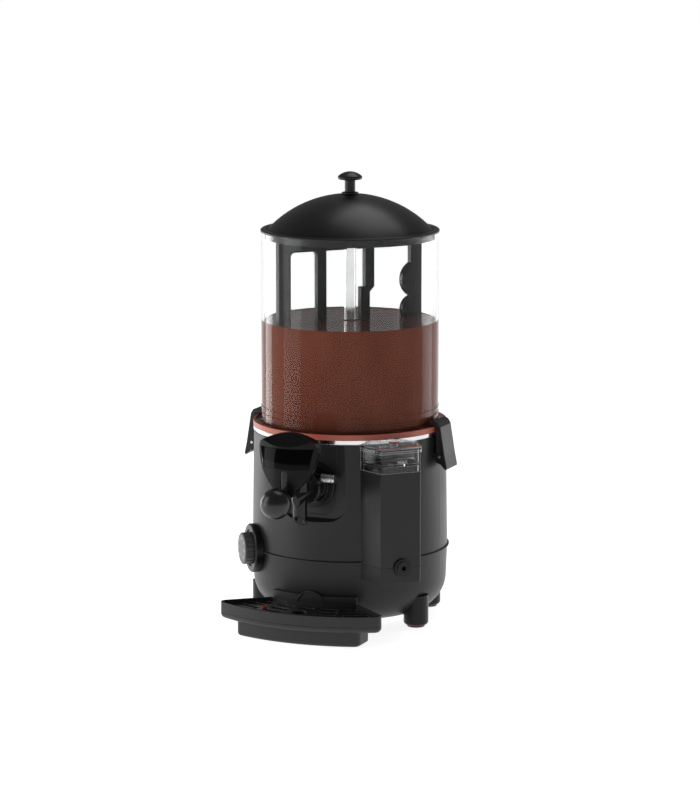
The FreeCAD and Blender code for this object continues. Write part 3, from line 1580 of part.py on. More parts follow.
def tray_holder():
    """Lower tray holder: stepped base on the table, curved wall on the housing and a tongue under it."""
    top = tray_floor_height - 0.2
    base = tray_plan(holder_inset, holder_bottom, top, 0)
    base = base.common(block(-holder_half_width, holder_half_width, -THROUGH, THROUGH, 0, THROUGH))
    corners = [
        e for e in base.Edges
        if abs(e.tangentAt(e.FirstParameter).z) > UPRIGHT
        and abs(e.CenterOfMass.x) > holder_half_width - cut_past
        and e.CenterOfMass.y < -tray_corner_y
    ]
    base = base.makeFillet(holder_corner, corners)
    low = [
        e for e in base.Edges
        if e.CenterOfMass.z < holder_bottom + TOUCH and e.CenterOfMass.y < -tray_corner_y
    ]
    base = base.makeFillet(holder_edge, low)
    wall = Part.makeCylinder(holder_block_radius, holder_block_top - holder_bottom, V(0, 0, holder_bottom))
    joint = Part.makeCylinder(tray_back_radius + 2.0, top - holder_bottom, V(0, 0, holder_bottom))
    reach = block(-holder_block_half, holder_block_half, -THROUGH, -holder_inner_radius, 0, THROUGH)
    wall = wall.fuse(joint).common(reach)
    tongue = block(-holder_tongue_half, holder_tongue_half, -tray_back_radius + 10.0, -holder_tongue_end,
                   holder_bottom, housing_bottom - 0.3)
    solid = base.fuse(wall).fuse(tongue).fuse(holder_arch())
    return one_solid(solid.cut(lower_body(-seat_gap, seam_height - cut_past)))


def gear_motor():
    """Gear motor under the water bath."""
    motor = Part.makeCylinder(motor_radius, motor_height, V(0, motor_offset, motor_bottom))
    middle = motor_offset - bracket_thickness
    gearbox_bottom = motor_bottom + motor_height
    gearbox = block(
        -gearbox_half_width, gearbox_half_width, middle - gearbox_half_length, middle + gearbox_half_length,
        gearbox_bottom, gearbox_bottom + gearbox_height,
    )
    return motor.fuse(gearbox)


def motor_bracket():
    """Folded steel bridge that carries the gear motor on the base plate."""
    bottom = housing_bottom + housing_wall + base_plate_thickness + seat_gap * HALF
    top = motor_bottom - seat_gap * HALF
    half = bracket_reach - bracket_foot
    front = motor_offset - bracket_half_depth
    back = motor_offset + bracket_half_depth
    bridge = block(-half, half, front, back, top - bracket_thickness, top)
    leg = block(half - bracket_thickness, half, front, back, bottom, top)
    foot_plate = block(half - bracket_thickness, bracket_reach, front, back, bottom, bottom + bracket_thickness)
    side = leg.fuse(foot_plate)
    return one_solid(bridge.fuse(side).fuse(mirrored(side)))


def heating_element():
    """Tubular heater in the water bath, with two ends through the pan's bottom."""
    centre = V(0, 0, element_height)
    sizes = (element_ring_radius, element_tube_radius)
    solid = Part.makeTorus(*sizes, centre, UP, 0, FULL_TURN, element_sweep)
    solid.rotate(ORIGIN, UP, element_start)
    for degrees in (element_start, element_start + element_sweep):
        angle = math.radians(degrees)
        x = element_ring_radius * math.cos(angle)
        y = element_ring_radius * math.sin(angle)
        solid = solid.fuse(Part.makeSphere(element_tube_radius, V(x, y, element_height)))
        solid = solid.fuse(rod(element_tube_radius, V(x, y, element_end_height), V(x, y, element_height)))
    return one_solid(solid)


def terminal_block():
    """Terminal block on the base plate for the mains wires."""
    bottom = housing_bottom + housing_wall + base_plate_thickness + seat_gap * HALF
    top = bottom + terminal_height
    body = block(
        -terminal_half_width, terminal_half_width,
        terminal_place - terminal_depth * HALF, terminal_place + terminal_depth * HALF, bottom, top,
    )
    pitch = 2 * terminal_half_width / terminal_count
    for index in range(terminal_count):
        x = pitch * (index - (terminal_count - 1) * HALF)
        well = V(x, terminal_place, top - terminal_well_depth)
        body = body.cut(Part.makeCylinder(terminal_well_radius, terminal_height, well))
    return body


def overheat_cutout():
    """Round overheat cut-out under the water bath pan."""
    x, y = cutout_place
    return Part.makeCylinder(cutout_radius, cutout_height, V(x, y, bath_bottom - cutout_height - skin_gap))


def rocker_pin(radius, half_length):
    """Rod on the axis that the rocker turns on, in the switch's frame."""
    y = -housing_corner_outer - switch_frame_proud + rocker_pivot_depth
    pin = rod(radius, V(-half_length, y, switch_height), V(half_length, y, switch_height))
    return at_angle(pin, switch_angle)


def switch_frame():
    """Frame of the mains switch in the back of the lower housing."""
    face_y = housing_corner_outer + switch_frame_proud
    body = switch_window(0, face_y - switch_depth, face_y)
    rim = switch_window(switch_frame_margin, housing_corner_outer - 4.0, face_y)
    rim = rim.cut(lower_body(-0.1, seam_height))
    frame = body.fuse(rim)
    well = switch_window(-switch_well_margin, face_y - 10.0, face_y + 1.0)
    pin_hole = rocker_pin(rocker_pin_radius + running_gap, switch_half_width - 0.2)
    return one_solid(frame.cut(well).cut(pin_hole))


def rocker():
    """Rocker of the mains switch, with its lower end standing out and a pin at each side."""
    face_y = housing_corner_outer + switch_frame_proud
    half_height = switch_half_height - switch_well_margin - 1.0
    half_width = switch_half_width - switch_well_margin - 0.3
    back = -face_y + 7.6
    face = face_of(
        V(-half_width, back, switch_height - half_height * 0.72),
        V(-half_width, -face_y - rocker_proud, switch_height - half_height),
        V(-half_width, -face_y + 0.2, switch_height),
        V(-half_width, -face_y - rocker_sunk, switch_height + half_height),
        V(-half_width, back, switch_height + half_height * 0.72),
    )
    body = at_angle(face.extrude(V(2 * half_width, 0, 0)), switch_angle)
    return one_solid(body.fuse(rocker_pin(rocker_pin_radius, half_width + 0.9)))


def cable_gland():
    """Gland for the mains lead, through the back of the lower housing."""
    radius_there = housing_corner_outer - 1.5

    def spot(distance):
        return V(0, -radius_there + distance, gland_height)

    outer = rod(gland_radius, spot(gland_shank_overlap), spot(-gland_length))
    outer = outer.cut(lower_body(-2 * skin_gap, seam_height))
    shank = rod(gland_radius - gland_shank_inset, spot(gland_shank_end), spot(-gland_shank_overlap))
    gland = outer.fuse(shank).cut(rod(gland_bore, spot(gland_shank_end + cut_past), spot(-THROUGH)))
    return at_angle(one_solid(gland), gland_angle)


def base_screws():
    """Four screws that hold the base plate from below."""
    bottom = housing_bottom + housing_wall + base_plate_thickness + skin_gap
    screws = []
    for degrees in (45.0, 135.0, 225.0, 315.0):
        angle = math.radians(degrees)
        place = V(base_screw_circle * math.cos(angle), base_screw_circle * math.sin(angle), bottom)
        screws.append(Part.makeCylinder(base_screw_radius, base_screw_height, place))
    return Part.makeCompound(screws)


def build_all():
    """Every sub-part by its node name."""
    parts = {
        "lower_housing": lower_housing(),
        "upper_housing": upper_housing(),
        "base_plate": base_plate(),
        "base_screws": base_screws(),
        "bath_pan": bath_pan(),
        "heated_bowl": heated_bowl(),
        "centre_tube": centre_tube(),
        "outlet_pipe": outlet_pipe(),
        "drum": drum(),
        "drum_gasket": drum_gasket(),
        "shaft_bush_lower": bush(bath_bottom - 6.0),
        "shaft_bush_upper": bush(tube_top - bush_length),
        "drive_shaft": drive_shaft(),
        "stirrer": stirrer(),
        "stirrer_cap": stirrer_cap(),
        "lid": lid(),
        "lid_knob": lid_knob(),
        "lid_screw": lid_screw(),
        "tap_flange": tap_flange(),
        "tap_body": tap_body(),
        "tap_cover": tap_cover(),
        "cover_screw": cover_screw(),
        "label_window": label_window(),
        "tap_lever": tap_lever(),
        "ball_knob": ball_knob(),
        "lever_pin": lever_pin(),
        "plunger": plunger(),
        "plunger_seal": plunger_seal(),
        "valve_spring": valve_spring(),
        "clamp_stud": clamp_stud(),
        "clamp_nut": clamp_nut(),
        "clip_right": right_clip(),
        "clip_left": mirrored(right_clip()),
        "clip_pin_right": right_clip_pin(),
        "clip_pin_left": mirrored(right_clip_pin()),
        "filler_box": filler_box(),
        "filler_lid": filler_lid(),
        "water_reservoir": water_reservoir(),
        "drain_ring": drain_ring(),
        "drain_plug": drain_plug(),
        "thermostat_bezel": bezel(),
        "thermostat_knob": thermostat_knob(),
        "thermostat_body": thermostat_body(),
        "drip_tray": drip_tray(),
        "drip_grid": grid_with_legs(),
        "level_float": level_float(),
        "tray_holder": tray_holder(),
        "gear_motor": gear_motor(),
        "motor_bracket": motor_bracket(),
        "heating_element": heating_element(),
        "terminal_block": terminal_block(),
        "overheat_cutout": overheat_cutout(),
        "switch_frame": switch_frame(),
        "switch_rocker": rocker(),
        "cable_gland": cable_gland(),
    }
    return parts


def main():
    """Write one STEP file for each sub-part."""
    os.makedirs("parts", exist_ok=True)
    parts = build_all()
    pads = []
    for name, (x, y) in foot_places().items():
        parts[name] = foot(x, y)
        pads.append(foot_pad(x, y))
    parts["foot_pads"] = Part.makeCompound(pads)
    for name, shape in parts.items():
        shape.exportStep("parts/%s.step" % name)


main()
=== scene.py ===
import json
import math

import bmesh
import bpy
from mathutils import Matrix, Vector


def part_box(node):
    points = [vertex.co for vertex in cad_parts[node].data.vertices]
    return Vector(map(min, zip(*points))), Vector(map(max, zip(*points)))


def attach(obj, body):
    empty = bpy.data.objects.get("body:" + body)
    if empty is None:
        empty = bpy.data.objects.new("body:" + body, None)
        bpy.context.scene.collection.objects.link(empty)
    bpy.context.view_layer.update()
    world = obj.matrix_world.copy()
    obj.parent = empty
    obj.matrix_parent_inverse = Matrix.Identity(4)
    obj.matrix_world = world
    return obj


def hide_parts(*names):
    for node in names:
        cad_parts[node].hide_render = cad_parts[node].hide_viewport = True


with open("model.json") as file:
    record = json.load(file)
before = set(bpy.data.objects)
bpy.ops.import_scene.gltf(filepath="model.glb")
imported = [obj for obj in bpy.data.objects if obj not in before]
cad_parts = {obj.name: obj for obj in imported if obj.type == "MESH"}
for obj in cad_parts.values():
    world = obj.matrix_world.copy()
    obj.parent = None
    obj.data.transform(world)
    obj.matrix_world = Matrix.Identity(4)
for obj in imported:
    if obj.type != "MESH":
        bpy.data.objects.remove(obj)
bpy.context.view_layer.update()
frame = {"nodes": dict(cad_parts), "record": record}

# Everything is in metres. The origin is on the table under the drum's axis, +Z is up, and the tap faces -Y.

MM = 0.001
FULL_TURN = 2 * math.pi
WALL_TOUCH = 0.0001
WALL_WETTING = 0.0003

# Places of the drink, from the drum, the bowl and the tube that hold it
drum_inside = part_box("drum")[1].x - 11.0 * MM
bowl_inside = drum_inside - 9.4 * MM
bowl_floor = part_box("heated_bowl")[1].z - 43.0 * MM
drum_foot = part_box("drum")[0].z
tube_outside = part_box("centre_tube")[1].x
drink_level = 387.8 * MM
meniscus = 1.4 * MM

# Places of the printed marks; angles are counted from the front, to the right
column_angle = math.radians(46.5)
dial_angle = math.radians(-51.0)
dial_height = 94.9 * MM
dial_radius = 20.6 * MM

# Camera, as worked out from the photograph
camera_azimuth = math.radians(22.969)
camera_distance = 4.2
camera_height = 1.01221
camera_pitch = math.radians(9.853)
camera_lens = 148.01
camera_sensor = 36.0


def reach(node, angle):
    """How far out a node's face lies, in a direction counted from the front."""
    outward = Vector((math.sin(angle), -math.cos(angle), 0.0))
    thing = frame["nodes"][node]
    return max((thing.matrix_world @ vert.co).dot(outward) for vert in thing.data.vertices)


def new_material(name):
    """Empty material with a Principled shader; returns the material, its node tree and the shader."""
    material = bpy.data.materials.new(name)
    material.use_nodes = True
    tree = material.node_tree
    return material, tree, tree.nodes["Principled BSDF"]


def add_node(tree, kind, **settings):
    """New shader node with its settings."""
    node = tree.nodes.new(kind)
    for key, value in settings.items():
        setattr(node, key, value)
    return node


def place(tree, scale):
    """Object coordinates, scaled along each axis."""
    source = add_node(tree, "ShaderNodeTexCoord")
    mapping = add_node(tree, "ShaderNodeMapping")
    mapping.inputs["Scale"].default_value = scale
    tree.links.new(source.outputs["Object"], mapping.inputs["Vector"])
    return mapping.outputs["Vector"]


def noise(tree, vector, scale, detail=3.0, roughness=0.5):
    """Noise field as a value."""
    node = add_node(tree, "ShaderNodeTexNoise")
    node.inputs["Scale"].default_value = scale
    node.inputs["Detail"].default_value = detail
    node.inputs["Roughness"].default_value = roughness
    tree.links.new(vector, node.inputs["Vector"])
    return node.outputs["Fac"]


def spread(tree, value, low, high, start=0.3, end=0.7):
    """Value spread onto a range."""
    node = add_node(tree, "ShaderNodeMapRange")
    node.inputs["From Min"].default_value = start
    node.inputs["From Max"].default_value = end
    node.inputs["To Min"].default_value = low
    node.inputs["To Max"].default_value = high
    tree.links.new(value, node.inputs["Value"])
    return node.outputs["Result"]


def blend_colours(tree, factor, first, second):
    """Mix of two colours by a value."""
    node = add_node(tree, "ShaderNodeMix", data_type="RGBA")
    node.inputs["A"].default_value = (*first, 1.0)
    node.inputs["B"].default_value = (*second, 1.0)
    tree.links.new(factor, node.inputs["Factor"])
    return node.outputs["Result"]


def soft_edge(tree, radius):
    """Normal that rounds sharp edges a little, as moulded and pressed parts have."""
    node = add_node(tree, "ShaderNodeBevel", samples=4)
    node.inputs["Radius"].default_value = radius
    return node.outputs["Normal"]


def bump(tree, height, distance, strength, normal):
    """Bump from a height value on top of another normal."""
    node = add_node(tree, "ShaderNodeBump")
    node.inputs["Strength"].default_value = strength
    node.inputs["Distance"].default_value = distance
    tree.links.new(height, node.inputs["Height"])
    tree.links.new(normal, node.inputs["Normal"])
    return node.outputs["Normal"]


def edge_mask(tree, radius, threshold):
    """1 on sharp edges and 0 on faces: where edges are made lighter, as wear and as painted highlight."""
    edge = soft_edge(tree, radius)
    flat = add_node(tree, "ShaderNodeNewGeometry")
    dot = add_node(tree, "ShaderNodeVectorMath", operation="DOT_PRODUCT")
    tree.links.new(edge, dot.inputs[0])
    tree.links.new(flat.outputs["Normal"], dot.inputs[1])
    return spread(tree, dot.outputs["Value"], 1.0, 0.0, threshold, 1.0)


def moulded_plastic(name, colour, wear_and_glint, roughness, grain=0.0007, depth=0.00004, level=0.3, edge=0.0007):
    """Moulded plastic: fine grain, uneven gloss, and lighter edges that are partly handling wear and partly a
    painted highlight.
    """
    material, tree, shader = new_material(name)
    space = place(tree, (1.0, 1.0, 1.0))
    fine = noise(tree, space, 1.0 / grain, 2.0)
    cloud = noise(tree, space, 14.0, 4.0)
    wear_and_glint_mask = edge_mask(tree, edge * 1.5, 0.82)
    # Lighter edge colour: partly wear, partly a painted highlight along the edges.
    patch = add_node(tree, "ShaderNodeMath", operation="MULTIPLY")
    tree.links.new(wear_and_glint_mask, patch.inputs[0])
    tree.links.new(spread(tree, cloud, 0.35, 1.0), patch.inputs[1])
    tree.links.new(blend_colours(tree, patch.outputs["Value"], colour, wear_and_glint), shader.inputs["Base Color"])
    tree.links.new(spread(tree, cloud, roughness - 0.03, roughness + 0.04), shader.inputs["Roughness"])
    tree.links.new(bump(tree, fine, depth, 0.6, soft_edge(tree, edge)), shader.inputs["Normal"])
    shader.inputs["Specular IOR Level"].default_value = level
    return material


def clear_plastic(name, tint, bend, bright_edge):
    """Clear acrylic with faint draw lines: bend is its index of refraction, bright_edge the width of the edges
    painted white as a highlight.
    """
    material, tree, shader = new_material(name)
    drawn = noise(tree, place(tree, (60.0, 60.0, 1.5)), 3.0, 3.0)
    scratch = noise(tree, place(tree, (300.0, 300.0, 40.0)), 2.0, 4.0)
    tree.links.new(spread(tree, scratch, 0.0, 0.004, 0.45, 0.8), shader.inputs["Roughness"])
    flat = add_node(tree, "ShaderNodeNewGeometry")
    tree.links.new(bump(tree, drawn, 0.00002, 0.1, flat.outputs["Normal"]), shader.inputs["Normal"])
    shader.inputs["Base Color"].default_value = (*tint, 1.0)
    shader.inputs["Transmission Weight"].default_value = 1.0
    shader.inputs["IOR"].default_value = bend
    if bright_edge:
        paint_edge_highlights(tree, shader, bright_edge)
    return material


def paint_edge_highlights(tree, shader, radius):
    """Painted highlight: white diffuse mixed in along the edges, where the edges of clear plastic catch the
    light.
    """
    # Painted highlight colour for the edges.
    painted_edge_highlight = add_node(tree, "ShaderNodeBsdfDiffuse")
    painted_edge_highlight.inputs["Color"].default_value = (0.8, 0.8, 0.8, 1.0)
    mix = add_node(tree, "ShaderNodeMixShader")
    output = tree.nodes["Material Output"]
    tree.links.new(spread(tree, edge_mask(tree, radius, 0.85), 0.0, 0.7, 0.0, 1.0), mix.inputs[0])
    tree.links.new(shader.outputs["BSDF"], mix.inputs[1])
    tree.links.new(painted_edge_highlight.outputs["BSDF"], mix.inputs[2])
    tree.links.new(mix.outputs["Shader"], output.inputs["Surface"])


def bright_metal(name, colour, roughness, stretch, depth=0.00002):
    """Polished or brushed metal; stretch gives the direction of its fine lines."""
    material, tree, shader = new_material(name)
    lines = noise(tree, place(tree, stretch), 1.0, 4.0, 0.6)
    cloud = noise(tree, place(tree, (1.0, 1.0, 1.0)), 30.0, 3.0)
    tint = tuple(channel * 0.86 for channel in colour)
    mottled = blend_colours(tree, spread(tree, cloud, 0.0, 1.0), colour, tint)
    tree.links.new(mottled, shader.inputs["Base Color"])
    tree.links.new(spread(tree, lines, roughness * 0.75, roughness * 1.3), shader.inputs["Roughness"])
    tree.links.new(bump(tree, lines, depth, 0.5, soft_edge(tree, 0.0004)), shader.inputs["Normal"])
    shader.inputs["Metallic"].default_value = 1.0
    return material


def rubber(name, colour, dusty, roughness):
    """Soft rubber or silicone with a dull uneven face."""
    material, tree, shader = new_material(name)
    space = place(tree, (1.0, 1.0, 1.0))
    fine = noise(tree, space, 900.0, 3.0)
    cloud = noise(tree, space, 45.0, 4.0)
    mottled = blend_colours(tree, spread(tree, cloud, 0.0, 1.0), colour, dusty)
    tree.links.new(mottled, shader.inputs["Base Color"])
    tree.links.new(spread(tree, cloud, roughness - 0.05, roughness + 0.08), shader.inputs["Roughness"])
    tree.links.new(bump(tree, fine, 0.00008, 0.5, soft_edge(tree, 0.0006)), shader.inputs["Normal"])
    return material


def drink_material(name, gloss):
    """Hot chocolate with cocoa clouds a little lighter and darker; gloss is the shine of its face."""
    material, tree, shader = new_material(name)
    swirl = noise(tree, place(tree, (1.0, 1.0, 0.35)), 22.0, 5.0, 0.6)
    fine = noise(tree, place(tree, (1.0, 1.0, 1.0)), 420.0, 3.0)
    dark = (0.17, 0.047, 0.027)
    light = (0.215, 0.066, 0.039)
    mottled = blend_colours(tree, spread(tree, swirl, 0.0, 1.0), dark, light)
    tree.links.new(mottled, shader.inputs["Base Color"])
    tree.links.new(spread(tree, swirl, 0.1, 0.16), shader.inputs["Roughness"])
    flat = add_node(tree, "ShaderNodeNewGeometry")
    tree.links.new(bump(tree, fine, 0.00002, 0.1, flat.outputs["Normal"]), shader.inputs["Normal"])
    shader.inputs["Specular IOR Level"].default_value = gloss
    return material


def printed_mark(name, colour):
    """Ink of printed figures and lines, a little uneven."""
    material, tree, shader = new_material(name)
    patch = noise(tree, place(tree, (1.0, 1.0, 1.0)), 700.0, 3.0)
    faded = tuple(channel * 0.8 for channel in colour)
    mottled = blend_colours(tree, spread(tree, patch, 0.0, 1.0), colour, faded)
    tree.links.new(mottled, shader.inputs["Base Color"])
    shader.inputs["Roughness"].default_value = 0.55
    return material


# Colours that several plastics share
BLACK = (0.012, 0.012, 0.0123)
# Lighter black for edges, partly wear and partly a painted highlight.
WEAR_AND_GLINT_BLACK = (0.06, 0.06, 0.061)

materials = {
    "housing_black": moulded_plastic("satin_black_housing", BLACK, WEAR_AND_GLINT_BLACK, 0.36),
    "glossy_black": moulded_plastic(
        "glossy_black", (0.004, 0.004, 0.0045), (0.04, 0.04, 0.04), 0.12, depth=0.00001, level=0.25,
    ),
    "tap_black": moulded_plastic(
        "satin_black_fittings", (0.007, 0.007, 0.0072), WEAR_AND_GLINT_BLACK, 0.3, level=0.22,
    ),
    "tray_black": moulded_plastic("satin_black_tray", (0.026, 0.026, 0.0265), (0.075, 0.075, 0.076), 0.42),
    "dial_grey": moulded_plastic("dial_grey", (0.07, 0.07, 0.071), (0.16, 0.16, 0.16), 0.35, level=0.4),
    "clear_plastic": clear_plastic("clear_acrylic", (0.985, 0.99, 0.99), 1.25, 0.0009),
    "stirrer_plastic": moulded_plastic("stirrer_black", (0.01, 0.01, 0.0102), WEAR_AND_GLINT_BLACK, 0.4, level=0.15),
    "steel": bright_metal("brushed_steel", (0.56, 0.56, 0.57), 0.3, (900.0, 900.0, 30.0)),
    "polished_steel": bright_metal("polished_steel", (0.78, 0.78, 0.79), 0.12, (900.0, 900.0, 25.0)),
    "red_silicone": rubber("red_silicone", (0.5, 0.1, 0.06), (0.42, 0.12, 0.08), 0.45),
    "red_plastic": moulded_plastic("red_float", (0.52, 0.06, 0.035), (0.7, 0.2, 0.15), 0.3, level=0.5),
    "pad_rubber": rubber("brown_pad_rubber", (0.16, 0.035, 0.022), (0.1, 0.03, 0.02), 0.6),
    "grey_plastic": moulded_plastic("grey_fittings", (0.3, 0.3, 0.31), (0.45, 0.45, 0.45), 0.4),
}

# Nodes whose finish differs a little from the others of their slot; the lever's darker steel is painted shade.
finishes = {
    "drum": clear_plastic("clear_drum", (0.99, 0.995, 0.995), 1.18, 0.0),
    "ball_knob": moulded_plastic("satin_ball", (0.007, 0.007, 0.0072), WEAR_AND_GLINT_BLACK, 0.27, level=0.45),
    "label_window": moulded_plastic(
        "label_black", (0.001, 0.001, 0.001), (0.05, 0.05, 0.05), 0.1, depth=0.000005, level=0.08, edge=0.0003,
    ),
    "tap_cover": moulded_plastic("satin_black_cover", (0.005, 0.005, 0.0052), WEAR_AND_GLINT_BLACK, 0.3, level=0.13),
    # Its light edge colour is partly a painted highlight on the spout's edges.
    "tap_body": moulded_plastic(
        "shiny_black_spout", (0.005, 0.005, 0.0052), (0.09, 0.09, 0.09), 0.14, level=0.3, edge=0.0009,
    ),
    # The lever's steel is darkened as painted shade, for where the tap's cover shades it.
    "tap_lever": bright_metal("lever_steel_darkened_as_shade", (0.09, 0.09, 0.09), 0.4, (900.0, 900.0, 30.0)),
    # Its light edge colour is a painted highlight on the slot edges, as well as wear.
    "drip_grid": moulded_plastic(
        "shiny_black_grid", (0.012, 0.012, 0.0122), (0.22, 0.22, 0.22), 0.2, level=0.6, edge=0.0009,
    ),
    "lid": moulded_plastic("satin_black_lid", (0.008, 0.008, 0.0082), WEAR_AND_GLINT_BLACK, 0.34, level=0.28),
}


def dress_frame():
    """Give every node of the frame the material of its slot, or its own finish of it."""
    for part in frame["record"]["subparts"]:
        mesh = frame["nodes"][part["node"]].data
        mesh.materials.clear()
        mesh.materials.append(finishes.get(part["node"], materials[part["material_slot"]]))


def piece(name, mesh, material, body):
    """Object of a mesh that rides on a body, with the given material."""
    thing = bpy.data.objects.new(name, mesh)
    bpy.context.scene.collection.objects.link(thing)
    thing.data.materials.clear()
    thing.data.materials.append(material)
    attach(thing, body)
    return thing


def lathe(name, outline, steps):
    """Mesh turned about the Z axis from a closed outline of (radius, height) points."""
    shape = bmesh.new()
    rows = []
    for radius, height in outline:
        row = []
        for step in range(steps):
            angle = FULL_TURN * step / steps
            row.append(shape.verts.new((radius * math.cos(angle), radius * math.sin(angle), height)))
        rows.append(row)
    for index, row in enumerate(rows):
        following = rows[(index + 1) % len(rows)]
        for step in range(steps):
            after = (step + 1) % steps
            shape.faces.new((row[step], row[after], following[after], following[step]))
    bmesh.ops.recalc_face_normals(shape, faces=shape.faces)
    mesh = bpy.data.meshes.new(name)
    shape.to_mesh(mesh)
    shape.free()
    for face in mesh.polygons:
        face.use_smooth = True
    mesh.set_sharp_from_angle(angle=math.radians(35.0))
    return mesh


def drink():
    """Hot chocolate that fills the bowl and most of the drum, with a raised edge along the walls."""
    inner = tube_outside + WALL_TOUCH
    outer = drum_inside + WALL_WETTING
    shoulder_bottom = drum_foot - 1.5 * MM
    shoulder_top = drum_foot - 0.9 * MM
    edge = 5 * meniscus
    steps = 5
    outline = [
        (inner, bowl_floor + WALL_TOUCH),
        (bowl_inside, bowl_floor + WALL_TOUCH),
        (bowl_inside, shoulder_bottom),
        (outer, shoulder_top),
        (outer, drink_level + meniscus),
    ]
    for step in range(1, steps + 1):
        share = step / steps
        outline.append((outer - edge * share, drink_level + meniscus * (1 - share) ** 2))
    for step in range(steps, -1, -1):
        share = step / steps
        outline.append((inner + edge * share, drink_level + meniscus * (1 - share) ** 2))
    mesh = lathe("hot_chocolate", outline, 160)
    thing = piece("hot_chocolate", mesh, drink_material("hot_chocolate_on_wall", 0.0), "base")
    mesh.materials.append(drink_material("hot_chocolate_surface", 0.5))
    for face in mesh.polygons:
        if face.center.z > drink_level - meniscus and face.normal.z > 0.3:
            face.material_index = 1
    return thing


def facing(angle, distance, across, height):
    """Place on an upright face of the machine: x to the right, y up, z outwards."""
    outward = Vector((math.sin(angle), -math.cos(angle), 0.0))
    right = Vector((math.cos(angle), math.sin(angle), 0.0))
    up = Vector((0.0, 0.0, 1.0))
    turn = Matrix((right, up, outward)).transposed().to_4x4()
    return Matrix.Translation(outward * distance + right * across + up * height) @ turn


def lettering(name, words, size, depth, matrix, weight=0.0):
    """Thin raised lettering as a mesh on a face."""
    curve = bpy.data.curves.new(name, "FONT")
    curve.body = words
    curve.size = size
    curve.extrude = depth
    curve.offset = weight
    curve.align_x = "CENTER"
    curve.align_y = "CENTER"
    holder = bpy.data.objects.new(name + "_curve", curve)
    bpy.context.scene.collection.objects.link(holder)
    bpy.context.view_layer.update()
    mesh = bpy.data.meshes.new_from_object(holder)
    bpy.data.objects.remove(holder)
    mesh.transform(matrix)
    return mesh


def join_meshes(name, meshes):
    """One mesh from several."""
    shape = bmesh.new()
    for mesh in meshes:
        shape.from_mesh(mesh)
    joined = bpy.data.meshes.new(name)
    shape.to_mesh(joined)
    shape.free()
    return joined


def bar_mesh(name, width, height, depth, matrix):
    """Thin bar with rounded ends, flat on a face."""
    shape = bmesh.new()
    steps = 8
    ring = []
    for side in (1, -1):
        for step in range(steps + 1):
            angle = math.pi / 2 - side * math.pi * step / steps
            x = side * (width - height) / 2 + math.cos(angle) * height / 2
            ring.append(shape.verts.new((x, math.sin(angle) * height / 2, 0.0)))
    face = shape.faces.new(ring)
    moved = bmesh.ops.extrude_face_region(shape, geom=[face])["geom"]
    for vert in moved:
        if isinstance(vert, bmesh.types.BMVert):
            vert.co.z += depth
    bmesh.ops.recalc_face_normals(shape, faces=shape.faces)
    mesh = bpy.data.meshes.new(name)
    shape.to_mesh(mesh)
    shape.free()
    mesh.transform(matrix)
    return mesh


def fill_mark():
    """Highest water level on the filler box: a line over the word MAX."""
    depth = 0.12 * MM
    front = reach("filler_box", column_angle)
    word_place = facing(column_angle, front, 1.8 * MM, 228.7 * MM)
    line_place = facing(column_angle, front, 4.6 * MM, 233.9 * MM)
    word = lettering("fill_word", "MAX", 6.4 * MM, depth, word_place, 0.12 * MM)
    line = bar_mesh("fill_line", 22.0 * MM, 0.8 * MM, depth, line_place)
    mesh = join_meshes("fill_mark", [word, line])
    ink = printed_mark("grey_print", (0.42, 0.42, 0.42))
    return piece("fill_mark", mesh, ink, "base")


def on_dial(radius, angle):
    """Place on the knob's face at a radius and an angle about its middle."""
    front = reach("thermostat_knob", dial_angle)
    return facing(dial_angle, front, radius * math.cos(angle), dial_height + radius * math.sin(angle))


def dial_marks():
    """Figures, ticks and a pointer line printed on the face of the thermostat knob."""
    meshes = []
    depth = 0.1 * MM
    figures = ("30", "40", "50", "60", "70", "80", "90")
    figure_circle = dial_radius * 0.66
    tick_circle = dial_radius * 0.86
    pointer_middle = dial_radius * 0.62
    start = math.radians(225.0)
    sweep = math.radians(270.0)
    intervals = 24
    for index, figure in enumerate(figures):
        angle = start - sweep * index / (len(figures) - 1)
        turn = Matrix.Rotation(angle - math.pi / 2, 4, "Z")
        spot = on_dial(figure_circle, angle) @ turn
        meshes.append(lettering("figure", figure, 5.0 * MM, depth, spot, 0.08 * MM))
    for index in range(intervals + 1):
        angle = start - sweep * index / intervals
        turn = Matrix.Rotation(angle, 4, "Z")
        length = 1.9 * MM if index % 4 == 0 else 1.1 * MM
        meshes.append(bar_mesh("tick", length, 0.6 * MM, depth, on_dial(tick_circle, angle) @ turn))
    turn = Matrix.Rotation(math.pi / 2, 4, "Z")
    spot = on_dial(pointer_middle, -math.pi / 2) @ turn
    meshes.append(bar_mesh("pointer", 9.0 * MM, 1.0 * MM, depth, spot))
    mesh = join_meshes("dial_marks", meshes)
    ink = printed_mark("white_print", (0.62, 0.62, 0.62))
    return piece("dial_marks", mesh, ink, "dial")


